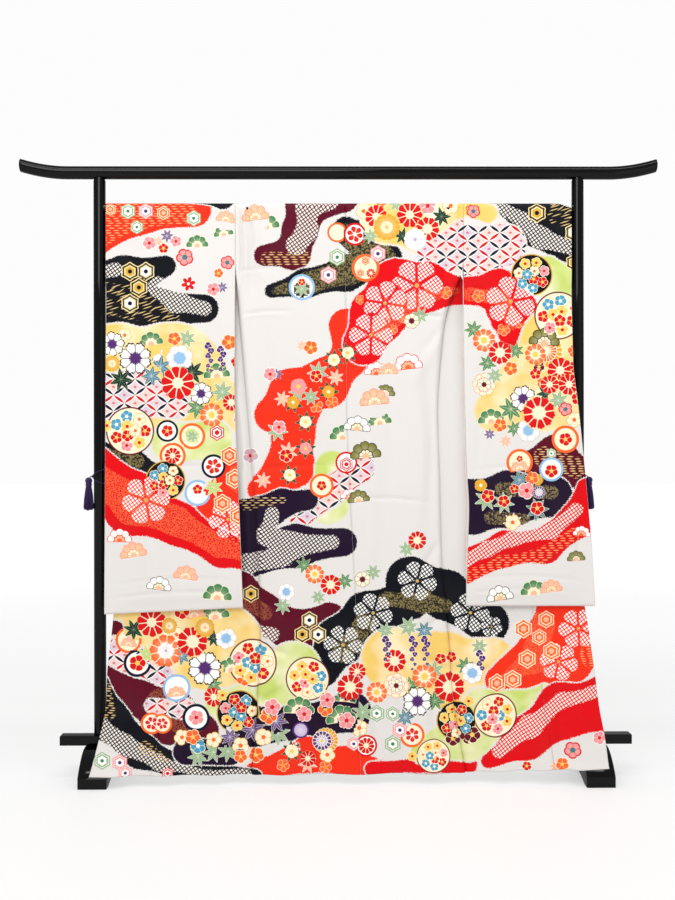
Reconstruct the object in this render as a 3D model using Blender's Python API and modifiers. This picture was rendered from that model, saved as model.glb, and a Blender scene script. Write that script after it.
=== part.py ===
"""A furisode kimono hung, back to the viewer, on a black lacquered kimono stand.

+X is the viewer's right, +Y points away from the viewer and +Z is up. The origin is on the floor,
midway between the posts. The body, overlaps, collar and sleeves are walls of cloth drawn through
level sections, from the rod that the garment hangs on down to the spread hem.
"""

import math
from collections import namedtuple

import bmesh
import bpy
import numpy as np
from mathutils import Matrix, Vector

LEFT = -1.0
RIGHT = 1.0

# The stand
POST_X = 0.675
POST_RADIUS = 0.017
POST_NECK_RADIUS = 0.0146
BAR_RADIUS = 0.0183
BAR_HALF_LENGTH = 0.8975
BAR_HEIGHT = 1.703
BAR_SWEEP_START = 0.765
BAR_SWEEP_RISE = 0.021
ROD_RADIUS = 0.012
ROD_HEIGHT = 1.603
ROD_SOCKET_DEPTH = 0.008
RAIL_HALF_LENGTH = 0.804
BASE_SHIFT = 0.0185
RAIL_DEPTH = 0.043
RAIL_THICKNESS = 0.027
FOOT_X = 0.692
FOOT_WIDTH = 0.079
FOOT_HALF_DEPTH = 0.137
FOOT_HEIGHT = 0.092
FOOT_TOE_HEIGHT = 0.029
FOOT_SADDLE = 0.024
FOOT_PAD = 0.032
FOOT_ARCH = 0.018
FOOT_CURVE = 0.85
TENON_RADIUS = 0.009
TENON_LENGTH = 0.019
FIT_GAP = 0.0003
BAR_EDGE = 0.002
RAIL_EDGE = 0.0015
FOOT_EDGE = 0.0012
EDGE_ANGLE = math.radians(40)

# The tassels
TASSEL_KNOT_HEIGHT = 0.847
TASSEL_CORD_RADIUS = 0.0010
TASSEL_KNOT_RADIUS = 0.0034
TASSEL_KNOT_OUT = 0.0038
TASSEL_LOOP_RISE = 0.021
TASSEL_LOOP_STEPS = 18
TASSEL_HEAD_RADIUS = 0.0100
TASSEL_HEAD_DROP = 0.0125
TASSEL_NECK_RADIUS = 0.0082
TASSEL_NECK_TOP = 0.003
TASSEL_NECK_BOTTOM = 0.016
TASSEL_SKIRT_RADIUS = 0.0135
TASSEL_LENGTH = 0.093
TASSEL_CLEARANCE = 0.0012
STRAND_RADIUS = 0.00105
STRAND_RINGS = ((0.0062, 13), (0.0037, 8), (0.0012, 2))

# The garment's cut
CLOTH = 0.0015
SEAM_GAP = 0.0006
ROD_CLEARANCE = 0.0005
DRAPE_RADIUS = ROD_RADIUS + ROD_CLEARANCE + CLOTH / 2
SHOULDER_HEIGHT = ROD_HEIGHT
ARMHOLE_END = 1.45
SIDE_SEAM_TOP = 1.25
HEM_HEIGHT = 0.028
HEM_LINE = ((-0.682, -0.24, 0.05, 0.347, 0.736), (0.034, 0.0265, 0.028, 0.030, 0.048))
HEM_FORWARD = {LEFT: 0.053, RIGHT: 0.040}
SPREAD_TOP = 0.38
SETTLE_TOP = 0.42
NECK_HALF_WIDTH = 0.09
NECK_DROP = 0.012
FRONT_WIDTH = 0.262
OVERLAP_WIDTH = 0.158
OVERLAP_TIP_HEIGHT = 1.38
OVERLAP_TIP_WIDTH = 0.006
COLLAR_END_HEIGHT = 0.81
COLLAR_WIDTH = 0.055
COLLAR_SLANT = 1.12
CUFF_DEPTH = 0.23
SLEEVE_SEAM_HALF = 0.0022
FULL_WIDTH = FRONT_WIDTH + OVERLAP_WIDTH

# How the fronts are turned in: the turn starts and is complete at these heights, and its middle
# moves inwards by the slope for each metre above the level
FOLD_START = 0.62
FOLD_DONE = 0.72
FOLD_LEVEL = 0.64
FOLD_SLOPE = 0.538
FOLD_WIDER = 0.014
ROLL_PITCH = 0.008
ROLL_TURN = math.radians(92)
FOOT_CLEARANCE = 0.0022

# The cloth's slow waves
FRONT_WAVE_LENGTH = 0.135
FRONT_WAVE_TOP = 0.50
FRONT_WAVE_REACH = 0.006
BACK_WAVES = 1.5
BACK_WAVE_TOP = 0.95
BACK_WAVE_REACH = 0.0075
SLEEVE_WAVES = 1.5
SLEEVE_WAVE_REACH = 0.0015

# Depth of each layer at a height: the back, the spread front, the part of the front that is turned
# in behind it, and the middle and half thickness of a sleeve
Drape = namedtuple("Drape", "height back spread turned sleeve sleeve_gap")
DRAPES = [
    Drape(1.603, -0.01325, 0.0120, 0.01325, 0.000, 0.01325),
    Drape(1.500, -0.0133, 0.0120, 0.0138, 0.000, 0.0132),
    Drape(1.450, -0.0135, 0.0120, 0.0150, -0.002, 0.0125),
    Drape(1.400, -0.0139, 0.0112, 0.0235, -0.004, 0.0110),
    Drape(1.320, -0.0150, 0.0085, 0.0240, -0.006, 0.0100),
    Drape(1.250, -0.0165, 0.0050, 0.0210, -0.009, 0.0095),
    Drape(1.060, -0.0220, -0.0040, 0.0120, -0.017, 0.0085),
    Drape(0.800, -0.0320, -0.0130, 0.0000, -0.027, 0.0080),
    Drape(0.600, -0.0390, -0.0200, -0.0110, -0.035, 0.0075),
    Drape(0.470, -0.0450, -0.0275, -0.0200, -0.041, 0.0065),
    Drape(0.350, -0.0530, -0.0370, -0.0300, -0.045, 0.0060),
    Drape(0.200, -0.0700, -0.0560, -0.0500, -0.050, 0.0060),
    Drape(0.028, -0.0900, -0.0770, -0.0720, -0.055, 0.0060),
]

# Where the upright seams hang at a height, across the garment
Seam = namedtuple("Seam", "height left_side centre right_side")
SEAMS = [
    Seam(1.603, -0.2915, 0.018, 0.3500),
    Seam(1.450, -0.2915, 0.018, 0.3500),
    Seam(1.380, -0.2870, 0.018, 0.3290),
    Seam(1.310, -0.2830, 0.019, 0.3050),
    Seam(1.160, -0.2700, 0.020, 0.2850),
    Seam(1.020, -0.2580, 0.021, 0.2770),
    Seam(0.840, -0.2440, 0.028, 0.2820),
    Seam(0.570, -0.2270, 0.041, 0.2890),
    Seam(0.400, -0.2210, 0.049, 0.3040),
    Seam(0.220, -0.2290, 0.053, 0.3160),
    Seam(0.028, -0.2430, 0.056, 0.3470),
]

# How far out the front edge of each spread front hangs at a height
Edge = namedtuple("Edge", "height left right")
EDGES = [
    Edge(0.850, -0.612, 0.655),
    Edge(0.720, -0.620, 0.655),
    Edge(0.640, -0.625, 0.651),
    Edge(0.560, -0.630, 0.672),
    Edge(0.460, -0.633, 0.692),
    Edge(0.310, -0.647, 0.711),
    Edge(0.200, -0.648, 0.720),
    Edge(0.120, -0.662, 0.730),
    Edge(0.028, -0.682, 0.736),
]

# The two upright edges of each sleeve at a height, and how far its outer edge stands forward
SleeveEdge = namedtuple("SleeveEdge", "height inner outer forward")
LEFT_SLEEVE = [
    SleeveEdge(1.620, -0.2919, -0.6555, 0.000),
    SleeveEdge(1.450, -0.2919, -0.6555, 0.000),
    SleeveEdge(1.300, -0.2935, -0.6555, 0.000),
    SleeveEdge(1.060, -0.2930, -0.6555, -0.001),
    SleeveEdge(0.760, -0.2810, -0.6555, -0.001),
    SleeveEdge(0.460, -0.2690, -0.6555, 0.000),
]
RIGHT_SLEEVE = [
    SleeveEdge(1.620, 0.3504, 0.6555, 0.000),
    SleeveEdge(1.450, 0.3504, 0.6555, 0.000),
    SleeveEdge(1.300, 0.3510, 0.6555, -0.006),
    SleeveEdge(1.170, 0.3515, 0.6555, -0.017),
    SleeveEdge(1.060, 0.3530, 0.6670, -0.018),
    SleeveEdge(0.860, 0.3580, 0.6870, -0.013),
    SleeveEdge(0.760, 0.3630, 0.6960, -0.009),
    SleeveEdge(0.630, 0.3580, 0.7070, -0.004),
    SleeveEdge(0.460, 0.3530, 0.7150, 0.000),
]
LEFT_SLEEVE_BOTTOM = (0.480, 0.463)
RIGHT_SLEEVE_BOTTOM = (0.484, 0.483)

BACK_HEIGHTS = [
    1.603, 1.54, 1.47, 1.43, 1.40, 1.37, 1.33, 1.29, 1.25, 1.16, 1.04, 0.90,
    0.76, 0.64, 0.53, 0.44, 0.35, 0.27, 0.20, 0.14, 0.08, 0.028,
]
FRONT_HEIGHTS = [
    1.603, 1.575, 1.53, 1.48, 1.45, 1.434, 1.427, 1.421, 1.416, 1.411, 1.397, 1.376, 1.34, 1.28,
    1.20, 1.11, 1.03, 0.985, 0.962, 0.952, 0.943, 0.934, 0.925, 0.916, 0.906, 0.88, 0.81, 0.75,
    0.71, 0.68, 0.65, 0.62, 0.57, 0.51, 0.44, 0.36, 0.29, 0.22, 0.16, 0.11, 0.065, 0.028,
]
SLEEVE_HEIGHTS = [1.603, 1.53, 1.45, 1.37, 1.29, 1.17, 1.05, 0.92, 0.79, 0.66, 0.56]
ROD_ARC_STEPS = 8
ROLL_STEPS = 3
SIDE_STEPS = 10
NECK_STEPS = 3
OVERLAP_STEPS = 8
SLEEVE_STEPS = 8


def hermite(heights, values, height):
    """A smooth curve through the values, read at one height; the heights run downwards."""
    xs = np.array(heights[::-1])
    ys = np.array(values[::-1])
    rises = np.diff(ys) / np.diff(xs)
    slopes = np.concatenate([[rises[0]], (rises[1:] + rises[:-1]) / 2, [rises[-1]]])
    level = np.concatenate([[False], rises[1:] * rises[:-1] <= 0, [False]])
    slopes[level] = 0.0
    slopes[0] = 0.0 if rises[0] == 0 else slopes[0]
    slopes[-1] = 0.0 if rises[-1] == 0 else slopes[-1]
    spot = min(max(height, xs[0]), xs[-1])
    i = int(min(max(np.searchsorted(xs, spot) - 1, 0), len(xs) - 2))
    step = xs[i + 1] - xs[i]
    t = (spot - xs[i]) / step
    start = (1 + 2 * t) * (1 - t) ** 2 * ys[i] + t * (1 - t) ** 2 * step * slopes[i]
    end = t * t * (3 - 2 * t) * ys[i + 1] + t * t * (t - 1) * step * slopes[i + 1]
    return float(start + end)


def read(table, column, height):
    return hermite([row.height for row in table], [getattr(row, column) for row in table], height)


def ease(value, start, end):
    """0 before start, 1 after end and a smooth rise between them."""
    t = min(max((value - start) / (end - start), 0.0), 1.0)
    return t * t * (3 - 2 * t)


def side_seam(side, height):
    return read(SEAMS, "left_side" if side == LEFT else "right_side", height)


def centre_seam(height):
    return read(SEAMS, "centre", height)


def fold_middle(height):
    """How far from the side seam the front is turned in: less and less towards the armhole."""
    wider = FOLD_WIDER * ease(height, 1.20, 1.36) * (1 - ease(height, 1.38, 1.43))
    return FULL_WIDTH - FOLD_SLOPE * (height - FOLD_LEVEL) + wider


def spread_stretch(side, height):
    """Width that a spread front shows for each metre of its cloth."""
    edge = read(EDGES, "left" if side == LEFT else "right", height)
    spread = abs(edge - side_seam(side, height)) / FULL_WIDTH
    return spread + (1.0 - spread) * ease(height, 0.85, 1.25)


def hem_forward(side, along, height):
    """The spread fronts are drawn forward over the feet."""
    low = min(max((SPREAD_TOP - height) / (SPREAD_TOP - 0.03), 0.0), 1.0)
    return -HEM_FORWARD[side] * low**1.5 * min(max(along / FULL_WIDTH, 0.0), 1.0) ** 0.8


def front_wave(along, height):
    low = min(max((FRONT_WAVE_TOP - height) / (FRONT_WAVE_TOP - 0.03), 0.0), 1.0)
    size = (0.001 + FRONT_WAVE_REACH * low) * (1 - ease(height, 1.40, 1.55))
    return size * math.sin(2 * math.pi * along / FRONT_WAVE_LENGTH) * ease(along, 0.0, 0.06)


def back_wave(share, height):
    low = min(max((BACK_WAVE_TOP - height) / (BACK_WAVE_TOP - 0.03), 0.0), 1.0)
    size = (0.0008 + BACK_WAVE_REACH * low**1.5) * (1 - ease(height, 1.40, 1.55))
    return size * math.cos(2 * math.pi * BACK_WAVES * share) * ease(share, 0.0, 0.15)


def foot_surface(height):
    """Distance of the foot's sloping top from the middle of the stand at a height."""
    rise = min(max((height - FOOT_TOE_HEIGHT) / (FOOT_HEIGHT - FOOT_TOE_HEIGHT), 0.0), 1.0)
    share = math.asin(rise ** (1 / FOOT_CURVE)) / (math.pi / 2)
    return FOOT_HALF_DEPTH - (FOOT_HALF_DEPTH - FOOT_SADDLE) * share


def over_foot(x, height):
    """1 where the cloth hangs over a foot, 0 away from both feet and above the rail."""
    across = ease(abs(x - BASE_SHIFT), 0.590, FOOT_X - FOOT_WIDTH / 2 - 0.004)
    return across * (1 - ease(height, 0.10, 0.17))


def clear_of_foot(x, depth, height):
    """The depth, brought forward where the cloth would otherwise lie in a foot."""
    limit = -foot_surface(height) - FOOT_CLEARANCE
    return depth + (min(depth, limit) - depth) * over_foot(x, height)


def hem_height(x):
    """The hem's own height under a point: lowest by the left side seam, highest at the right."""
    return float(np.interp(x, *HEM_LINE))


def settled(x, height):
    """A section's height, moved so that the lowest section follows the hem."""
    low = min(max((SETTLE_TOP - height) / (SETTLE_TOP - HEM_HEIGHT), 0.0), 1.0)
    return height + (hem_height(x) - HEM_HEIGHT) * low**2


def front_point(side, along, height):
    """A point of the front, its overlap or its collar, `along` metres of cloth from the side seam."""
    seam = side_seam(side, height)
    spread = read(DRAPES, "spread", height)
    turned = read(DRAPES, "turned", height)
    radius = max((turned - spread) / 2, 0.0008)
    stretch = spread_stretch(side, height)
    turn = math.pi * ease(height, FOLD_START, FOLD_DONE)
    turn_start = fold_middle(height) - turn * radius / 2
    depth = spread + hem_forward(side, along, height)
    if along <= turn_start or turn == 0:
        reach = stretch * along
    else:
        gone = min(max(-turn_start / radius, 0.0), turn)
        angle = min((along - turn_start) / radius, turn)
        rest = min(max(along - turn_start - turn * radius, 0.0), along)
        reach = stretch * max(turn_start, 0.0) + radius * (math.sin(angle) - math.sin(gone))
        reach += stretch * rest * math.cos(angle)
        depth += radius * (1 - math.cos(angle)) + rest * math.sin(angle)
    x = seam + side * reach
    place = settled(x, height)
    wave = front_wave(along, height) * (1 - 0.9 * over_foot(x, place))
    return Vector((x, clear_of_foot(x, depth + wave, place), place))


def front_edge(side, height):
    """Where the front's inner edge lies: the overlap's seam, drawn in to the neck at the shoulder."""
    neck = abs(side_seam(side, height) - centre_seam(height)) - NECK_HALF_WIDTH
    return FRONT_WIDTH + (neck - FRONT_WIDTH) * ease(height, OVERLAP_TIP_HEIGHT, SHOULDER_HEIGHT)


def overlap_edge(height):
    """The overlap's free edge, cut on a slant from the collar's end up to its tip."""
    slant = (height - COLLAR_END_HEIGHT) / (OVERLAP_TIP_HEIGHT - COLLAR_END_HEIGHT)
    return FULL_WIDTH + (OVERLAP_TIP_WIDTH - OVERLAP_WIDTH) * min(max(slant, 0.0), 1.0)


def crowded(count, width, middle):
    """Distances across a panel, drawn together round the fold so that its turn is round."""
    fine = np.linspace(0.0, width, 400)
    weight = 1 + 16.0 * np.exp(-(((fine - middle) / 0.012) ** 2))
    total = np.concatenate([[0.0], np.cumsum((weight[1:] + weight[:-1]) / 2)])
    return np.interp(np.linspace(0.0, total[-1], count + 1), total, fine)


def back_columns(side, height):
    """Distances from the side seam to the centre seam at which the back's section has its points."""
    width = abs(side_seam(side, height) - centre_seam(height))
    roll = [ROLL_PITCH * i for i in range(ROLL_STEPS)]
    flat = np.linspace(ROLL_PITCH * ROLL_STEPS, width - NECK_HALF_WIDTH, SIDE_STEPS - ROLL_STEPS + 1)
    neck = np.linspace(width - NECK_HALF_WIDTH, width - SEAM_GAP / 2, NECK_STEPS + 1)[1:]
    return roll + list(flat) + list(neck)


def back_point(side, column, height):
    """A point of the back, whose edge rolls in behind it to meet the front at the side seam."""
    seam = side_seam(side, height)
    depth = read(DRAPES, "back", height)
    away = back_columns(side, height)[column]
    width = abs(seam - centre_seam(height))
    x = seam - side * away
    y = depth + back_wave(away / width, height)
    rolled = 1 - ease(height, SIDE_SEAM_TOP + 0.02, ARMHOLE_END - 0.01)
    if column <= ROLL_STEPS and rolled > 0:
        angle = (ROLL_STEPS - column) / ROLL_STEPS * ROLL_TURN
        gap = read(DRAPES, "spread", height) - depth - CLOTH / 2 - SEAM_GAP
        roll_x = seam - side * ROLL_PITCH * ROLL_STEPS * (1 - math.sin(angle))
        x = x + (roll_x - x) * rolled
        y = y + gap * rolled * (1 - math.cos(angle)) / (1 - math.cos(ROLL_TURN))
    return Vector((x, y, settled(x, height)))


def rod_arc(x, step):
    """A point of the cloth where it passes over the rod, from the viewer's side to the far side."""
    angle = math.pi * step / ROD_ARC_STEPS
    offset = DRAPE_RADIUS * Vector((0.0, -math.cos(angle), math.sin(angle)))
    return Vector((x, 0.0, ROD_HEIGHT)) + offset


def object_from(name, mesh, home, paint):
    made = bpy.data.objects.new(name, mesh)
    home.objects.link(made)
    made.data.materials.clear()
    made.data.materials.append(paint)
    return made


def grid_faces(rows):
    """Faces between neighbouring rows of point numbers, as far as the shorter row reaches."""
    faces = []
    for upper, lower in zip(rows, rows[1:]):
        for i in range(min(len(upper), len(lower)) - 1):
            faces.append((upper[i], upper[i + 1], lower[i + 1], lower[i]))
    return faces


def cloth_object(name, points, faces, home, paint):
    """A wall of cloth: an open surface made CLOTH thick, half to each side."""
    mesh = bpy.data.meshes.new(name)
    mesh.from_pydata(points, [], faces)
    surface = bmesh.new()
    surface.from_mesh(mesh)
    bmesh.ops.recalc_face_normals(surface, faces=surface.faces)
    surface.to_mesh(mesh)
    surface.free()
    mesh.shade_smooth()
    made = object_from(name, mesh, home, paint)
    wall = made.modifiers.new("Wall", "SOLIDIFY")
    wall.thickness = CLOTH
    wall.offset = 0.0
    wall.use_even_offset = True
    return made


def body_half(name, side, home, paint):
    """One length of cloth from the back hem over the rod to the front hem, cut out round the neck."""
    points, rows = [], []

    def add_row(row_points):
        rows.append(list(range(len(points), len(points) + len(row_points))))
        points.extend(row_points)

    whole = SIDE_STEPS + NECK_STEPS + 1
    for height in reversed(BACK_HEIGHTS):
        add_row([back_point(side, column, height) for column in range(whole)])
    seam = side_seam(side, SHOULDER_HEIGHT)
    shoulder = [seam - side * away for away in back_columns(side, SHOULDER_HEIGHT)]
    for step in range(1, ROD_ARC_STEPS + 1):
        add_row([rod_arc(x, step) for x in shoulder])
    add_row([Vector((x, DRAPE_RADIUS, ROD_HEIGHT - NECK_DROP)) for x in shoulder])
    at_shoulder = np.array(back_columns(side, SHOULDER_HEIGHT)[: SIDE_STEPS + 1])
    for height in FRONT_HEIGHTS[1:]:
        edge = front_edge(side, height) - SEAM_GAP / 2
        spaced = crowded(SIDE_STEPS, edge, fold_middle(height))
        gathered = at_shoulder * edge / at_shoulder[-1]
        mix = ease(height, ARMHOLE_END, 1.58)
        along = spaced + (gathered - spaced) * mix
        along[0] = -0.0008 if height <= SIDE_SEAM_TOP else 0.0
        add_row([front_point(side, distance, height) for distance in along])
    return cloth_object(name, points, grid_faces(rows), home, paint)


def overlap(name, side, home, paint):
    """The narrow panel sewn to the front's inner edge, from the hem up to its tip."""
    points, rows = [], []
    heights = [h for h in FRONT_HEIGHTS if h < OVERLAP_TIP_HEIGHT]
    for height in heights:
        inner = FRONT_WIDTH + SEAM_GAP / 2
        outer = overlap_edge(height) - SEAM_GAP / 2
        middle = fold_middle(height) - FRONT_WIDTH
        across = inner + crowded(OVERLAP_STEPS, outer - inner, middle)
        rows.append(list(range(len(points), len(points) + len(across))))
        points += [front_point(side, along, height) for along in across]
    return cloth_object(name, points, grid_faces(rows), home, paint)


def collar_side(side):
    """Pairs of points down one front: on the collar's seam and on its free edge."""
    pairs = []
    heights = [h for h in FRONT_HEIGHTS if COLLAR_END_HEIGHT <= h < 1.50]
    for height in heights:
        sewn = overlap_edge(height) if height < OVERLAP_TIP_HEIGHT else front_edge(side, height)
        slant = 1.0 if height > OVERLAP_TIP_HEIGHT else COLLAR_SLANT
        free = sewn + COLLAR_WIDTH * slant
        pairs.append((front_point(side, sewn + SEAM_GAP, height), front_point(side, free, height)))
    return pairs


def collar(name, home, paint):
    """One band round the neck and down both fronts, mitred at the two shoulder corners."""
    middle = centre_seam(SHOULDER_HEIGHT)
    top = ROD_HEIGHT - NECK_DROP - SEAM_GAP
    low = top - COLLAR_WIDTH

    def at_neck(x, height, forward=0.0):
        return Vector((x, DRAPE_RADIUS + forward, height))

    def on_front(side, height):
        return front_point(side, front_edge(side, height) + SEAM_GAP, height)

    halves = []
    for side in (LEFT, RIGHT):
        corner = middle + side * (NECK_HALF_WIDTH - SEAM_GAP)
        free = middle + side * (NECK_HALF_WIDTH - COLLAR_WIDTH)
        bend = [
            (at_neck(middle + side * 0.045, top), at_neck(middle + side * 0.018, low)),
            (at_neck(corner, top), at_neck(free, low)),
            (on_front(side, 1.575), at_neck(free, 1.53, 0.0001)),
            (on_front(side, 1.53), at_neck(free, 1.505, 0.0003)),
        ]
        halves.append(bend + collar_side(side))
    centre = [(at_neck(middle, top), at_neck(middle, low))]
    pairs = halves[0][::-1] + centre + halves[1]
    points, rows = [], []
    for sewn, free in pairs:
        rows.append(list(range(len(points), len(points) + 3)))
        points += [sewn, (sewn + free) / 2, free]
    return cloth_object(name, points, grid_faces(rows), home, paint)


def sleeve_point(side, share, height, layer):
    """A point of a sleeve's viewer side (layer -1) or far side (layer 1), `share` of the way out."""
    table = LEFT_SLEEVE if side == LEFT else RIGHT_SLEEVE
    inner = read(table, "inner", height)
    outer = read(table, "outer", height)
    if layer > 0 and side == RIGHT:
        inner -= 0.004 * ease(height, 0.5, 0.7) * (1 - ease(height, 0.85, 1.1))
    x = inner + (outer - inner) * share
    closing = ease(share, 0.72, 1.0) * (1 - ease(height, 1.36, 1.42))
    gap = read(DRAPES, "sleeve_gap", height)
    gap += (SLEEVE_SEAM_HALF - gap) * closing
    swing = read(table, "forward", height) * ease(share, 0.45, 0.95)
    ripple = math.sin(2 * math.pi * (share * SLEEVE_WAVES + 0.1)) * (1 - ease(height, 1.2, 1.45))
    y = read(DRAPES, "sleeve", height) + swing + SLEEVE_WAVE_REACH * ripple + layer * gap
    return Vector((x, y, height))


def sleeve(name, side, home, paint):
    """A sleeve: one length folded over the rod, sewn along the bottom and up to the cuff opening."""
    points, rings = [], []
    bottoms = LEFT_SLEEVE_BOTTOM if side == LEFT else RIGHT_SLEEVE_BOTTOM
    cuff_height = SHOULDER_HEIGHT - CUFF_DEPTH
    for column in range(SLEEVE_STEPS + 1):
        share = column / SLEEVE_STEPS
        bottom = bottoms[0] + (bottoms[1] - bottoms[0]) * share
        heights = SLEEVE_HEIGHTS + [bottom + 0.045, bottom + 0.004]
        near = [sleeve_point(side, share, height, -1) for height in heights]
        far = [sleeve_point(side, share, height, 1) for height in heights]
        for layer in (near, far):
            middle = (near[-1].y + far[-1].y) / 2
            layer[-1].y = middle + (SLEEVE_SEAM_HALF if layer is far else -SLEEVE_SEAM_HALF)
        over = [rod_arc(near[0].x, step) for step in range(1, ROD_ARC_STEPS)]
        lowest = (near[-1] + far[-1]) / 2 - Vector((0.0, 0.0, 0.004))
        ring = [lowest] + near[::-1] + over + far
        rings.append(list(range(len(points), len(points) + len(ring))))
        points += ring
    faces = []
    for ring, following in zip(rings, rings[1:]):
        count = len(ring)
        for i in range(count):
            j = (i + 1) % count
            faces.append((ring[i], following[i], following[j], ring[j]))
    last = rings[-1]
    rows = len(SLEEVE_HEIGHTS) + 2
    near_side = last[1 : rows + 1]
    far_side = last[:-rows - 1 : -1]
    faces.append((last[0], far_side[0], near_side[0]))
    for i in range(rows - 1):
        if points[near_side[i + 1]].z < cuff_height + 0.02:
            faces.append((near_side[i], far_side[i], far_side[i + 1], near_side[i + 1]))
    return cloth_object(name, points, faces, home, paint)


def mesh_of(source):
    """The source's evaluated mesh as a new welded mesh in world space; the source is removed."""
    bpy.context.view_layer.update()
    graph = bpy.context.evaluated_depsgraph_get()
    mesh = bpy.data.meshes.new_from_object(source.evaluated_get(graph))
    mesh.transform(source.matrix_world)
    work = bmesh.new()
    work.from_mesh(mesh)
    bmesh.ops.remove_doubles(work, verts=work.verts, dist=0.00002)
    bmesh.ops.recalc_face_normals(work, faces=work.faces)
    work.to_mesh(mesh)
    work.free()
    bpy.data.objects.remove(source)
    return mesh


def tube(points, radius, sides, closed=False):
    """A round bar along the points, as a mesh."""
    line = bpy.data.curves.new("line", "CURVE")
    line.dimensions = "3D"
    line.bevel_depth = radius
    line.bevel_resolution = sides
    line.use_fill_caps = not closed
    spline = line.splines.new("POLY")
    spline.points.add(len(points) - 1)
    for spot, place in zip(spline.points, points):
        spot.co = (*place, 1.0)
    spline.use_cyclic_u = closed
    holder = bpy.data.objects.new("line", line)
    bpy.context.scene.collection.objects.link(holder)
    return mesh_of(holder)


def cylinder(name, home, radius, length, place, along_x=False, sides=32):
    turn = (0.0, math.pi / 2, 0.0) if along_x else (0.0, 0.0, 0.0)
    bpy.ops.mesh.primitive_cylinder_add(
        vertices=sides, radius=radius, depth=length, location=place, rotation=turn
    )
    made = bpy.context.object
    made.name = name
    for old in list(made.users_collection):
        old.objects.unlink(made)
    home.objects.link(made)
    return made


def combine(target, other, operation):
    modifier = target.modifiers.new(operation.title(), "BOOLEAN")
    modifier.operation = operation
    modifier.object = other
    modifier.solver = "EXACT"


def as_cutter(made):
    made.hide_render = True
    made.display_type = "WIRE"
    return made


def round_edges(made, width, segments=2):
    bevel = made.modifiers.new("Edges", "BEVEL")
    bevel.width = width
    bevel.segments = segments
    bevel.limit_method = "ANGLE"
    bevel.angle_limit = EDGE_ANGLE


def top_bar(home, paint):
    """The head rail, level between the posts and swept up at both ends."""
    steps = 9
    half = []
    for i in range(steps + 1):
        share = i / steps
        x = BAR_SWEEP_START + (BAR_HALF_LENGTH - BAR_SWEEP_START) * share
        half.append(Vector((x, 0.0, BAR_HEIGHT + BAR_SWEEP_RISE * share**1.9)))
    mirrored = [Vector((-p.x, p.y, p.z)) for p in reversed(half)]
    made = object_from("top_bar", tube(mirrored + half, BAR_RADIUS, 6), home, paint)
    round_edges(made, BAR_EDGE)
    made.data.shade_smooth()
    made.data.set_sharp_from_angle(angle=EDGE_ANGLE)
    return made


def post(name, x, home, cutters, paint):
    """A turned post: a tenon below, a chamfered neck above, coped to the head rail."""
    foot_of_post = FOOT_HEIGHT + RAIL_THICKNESS + 2 * FIT_GAP
    neck = BAR_HEIGHT - BAR_RADIUS
    profile = [
        (0.0, BAR_HEIGHT),
        (POST_NECK_RADIUS, BAR_HEIGHT),
        (POST_NECK_RADIUS, neck),
        (POST_RADIUS, neck - 0.005),
        (POST_RADIUS, foot_of_post),
        (TENON_RADIUS, foot_of_post),
        (TENON_RADIUS, foot_of_post - TENON_LENGTH),
        (0.0, foot_of_post - TENON_LENGTH),
    ]
    mesh = bpy.data.meshes.new(name)
    lines = [(i, i + 1) for i in range(len(profile) - 1)]
    mesh.from_pydata([(r, 0.0, z) for r, z in profile], lines, [])
    made = object_from(name, mesh, home, paint)
    made.location.x = x
    turned = made.modifiers.new("Turned", "SCREW")
    turned.steps = 32
    turned.render_steps = 32
    turned.use_merge_vertices = True
    turned.merge_threshold = 0.00005
    cope_length = 0.12
    overrun = 0.010
    bar_place = (x, 0.0, BAR_HEIGHT)
    bar = cylinder(name + "_cope", cutters, BAR_RADIUS + FIT_GAP, cope_length, bar_place, True, 40)
    socket_x = x - math.copysign(POST_RADIUS - ROD_SOCKET_DEPTH / 2 + overrun / 2, x)
    socket_place = (socket_x, 0.0, ROD_HEIGHT)
    socket_length = ROD_SOCKET_DEPTH + overrun
    socket = cylinder(name + "_socket", cutters, ROD_RADIUS + FIT_GAP, socket_length, socket_place, True)
    for cutter in (bar, socket):
        combine(made, as_cutter(cutter), "DIFFERENCE")
    return made


def hanging_rod(home, paint):
    """The rod through the sleeves, its ends let into the posts."""
    end_play = 0.0015
    reach = POST_X - POST_RADIUS + ROD_SOCKET_DEPTH - end_play
    made = cylinder("hanging_rod", home, ROD_RADIUS, 2 * reach, (0.0, 0.0, ROD_HEIGHT), True)
    made.data.materials.append(paint)
    return made


def tenon_cutter(name, x, cutters, top, bottom):
    place = (x, 0.0, (top + bottom) / 2)
    return as_cutter(cylinder(name, cutters, TENON_RADIUS + FIT_GAP, top - bottom, place))


def bottom_rail(home, cutters, paint):
    low = FOOT_HEIGHT + FIT_GAP
    bpy.ops.mesh.primitive_cube_add(size=1.0, location=(BASE_SHIFT, 0.0, low + RAIL_THICKNESS / 2))
    made = bpy.context.object
    made.name = "bottom_rail"
    made.scale = (2 * RAIL_HALF_LENGTH, RAIL_DEPTH, RAIL_THICKNESS)
    bpy.ops.object.transform_apply(location=False, rotation=False, scale=True)
    for old in list(made.users_collection):
        old.objects.unlink(made)
    home.objects.link(made)
    made.data.materials.append(paint)
    round_edges(made, RAIL_EDGE)
    hole_top = low + RAIL_THICKNESS + 0.013
    hole_bottom = low + 0.0065
    for side in (LEFT, RIGHT):
        hole = tenon_cutter(f"rail_hole_{side:.0f}", side * POST_X, cutters, hole_top, hole_bottom)
        combine(made, hole, "DIFFERENCE")
    return made


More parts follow.
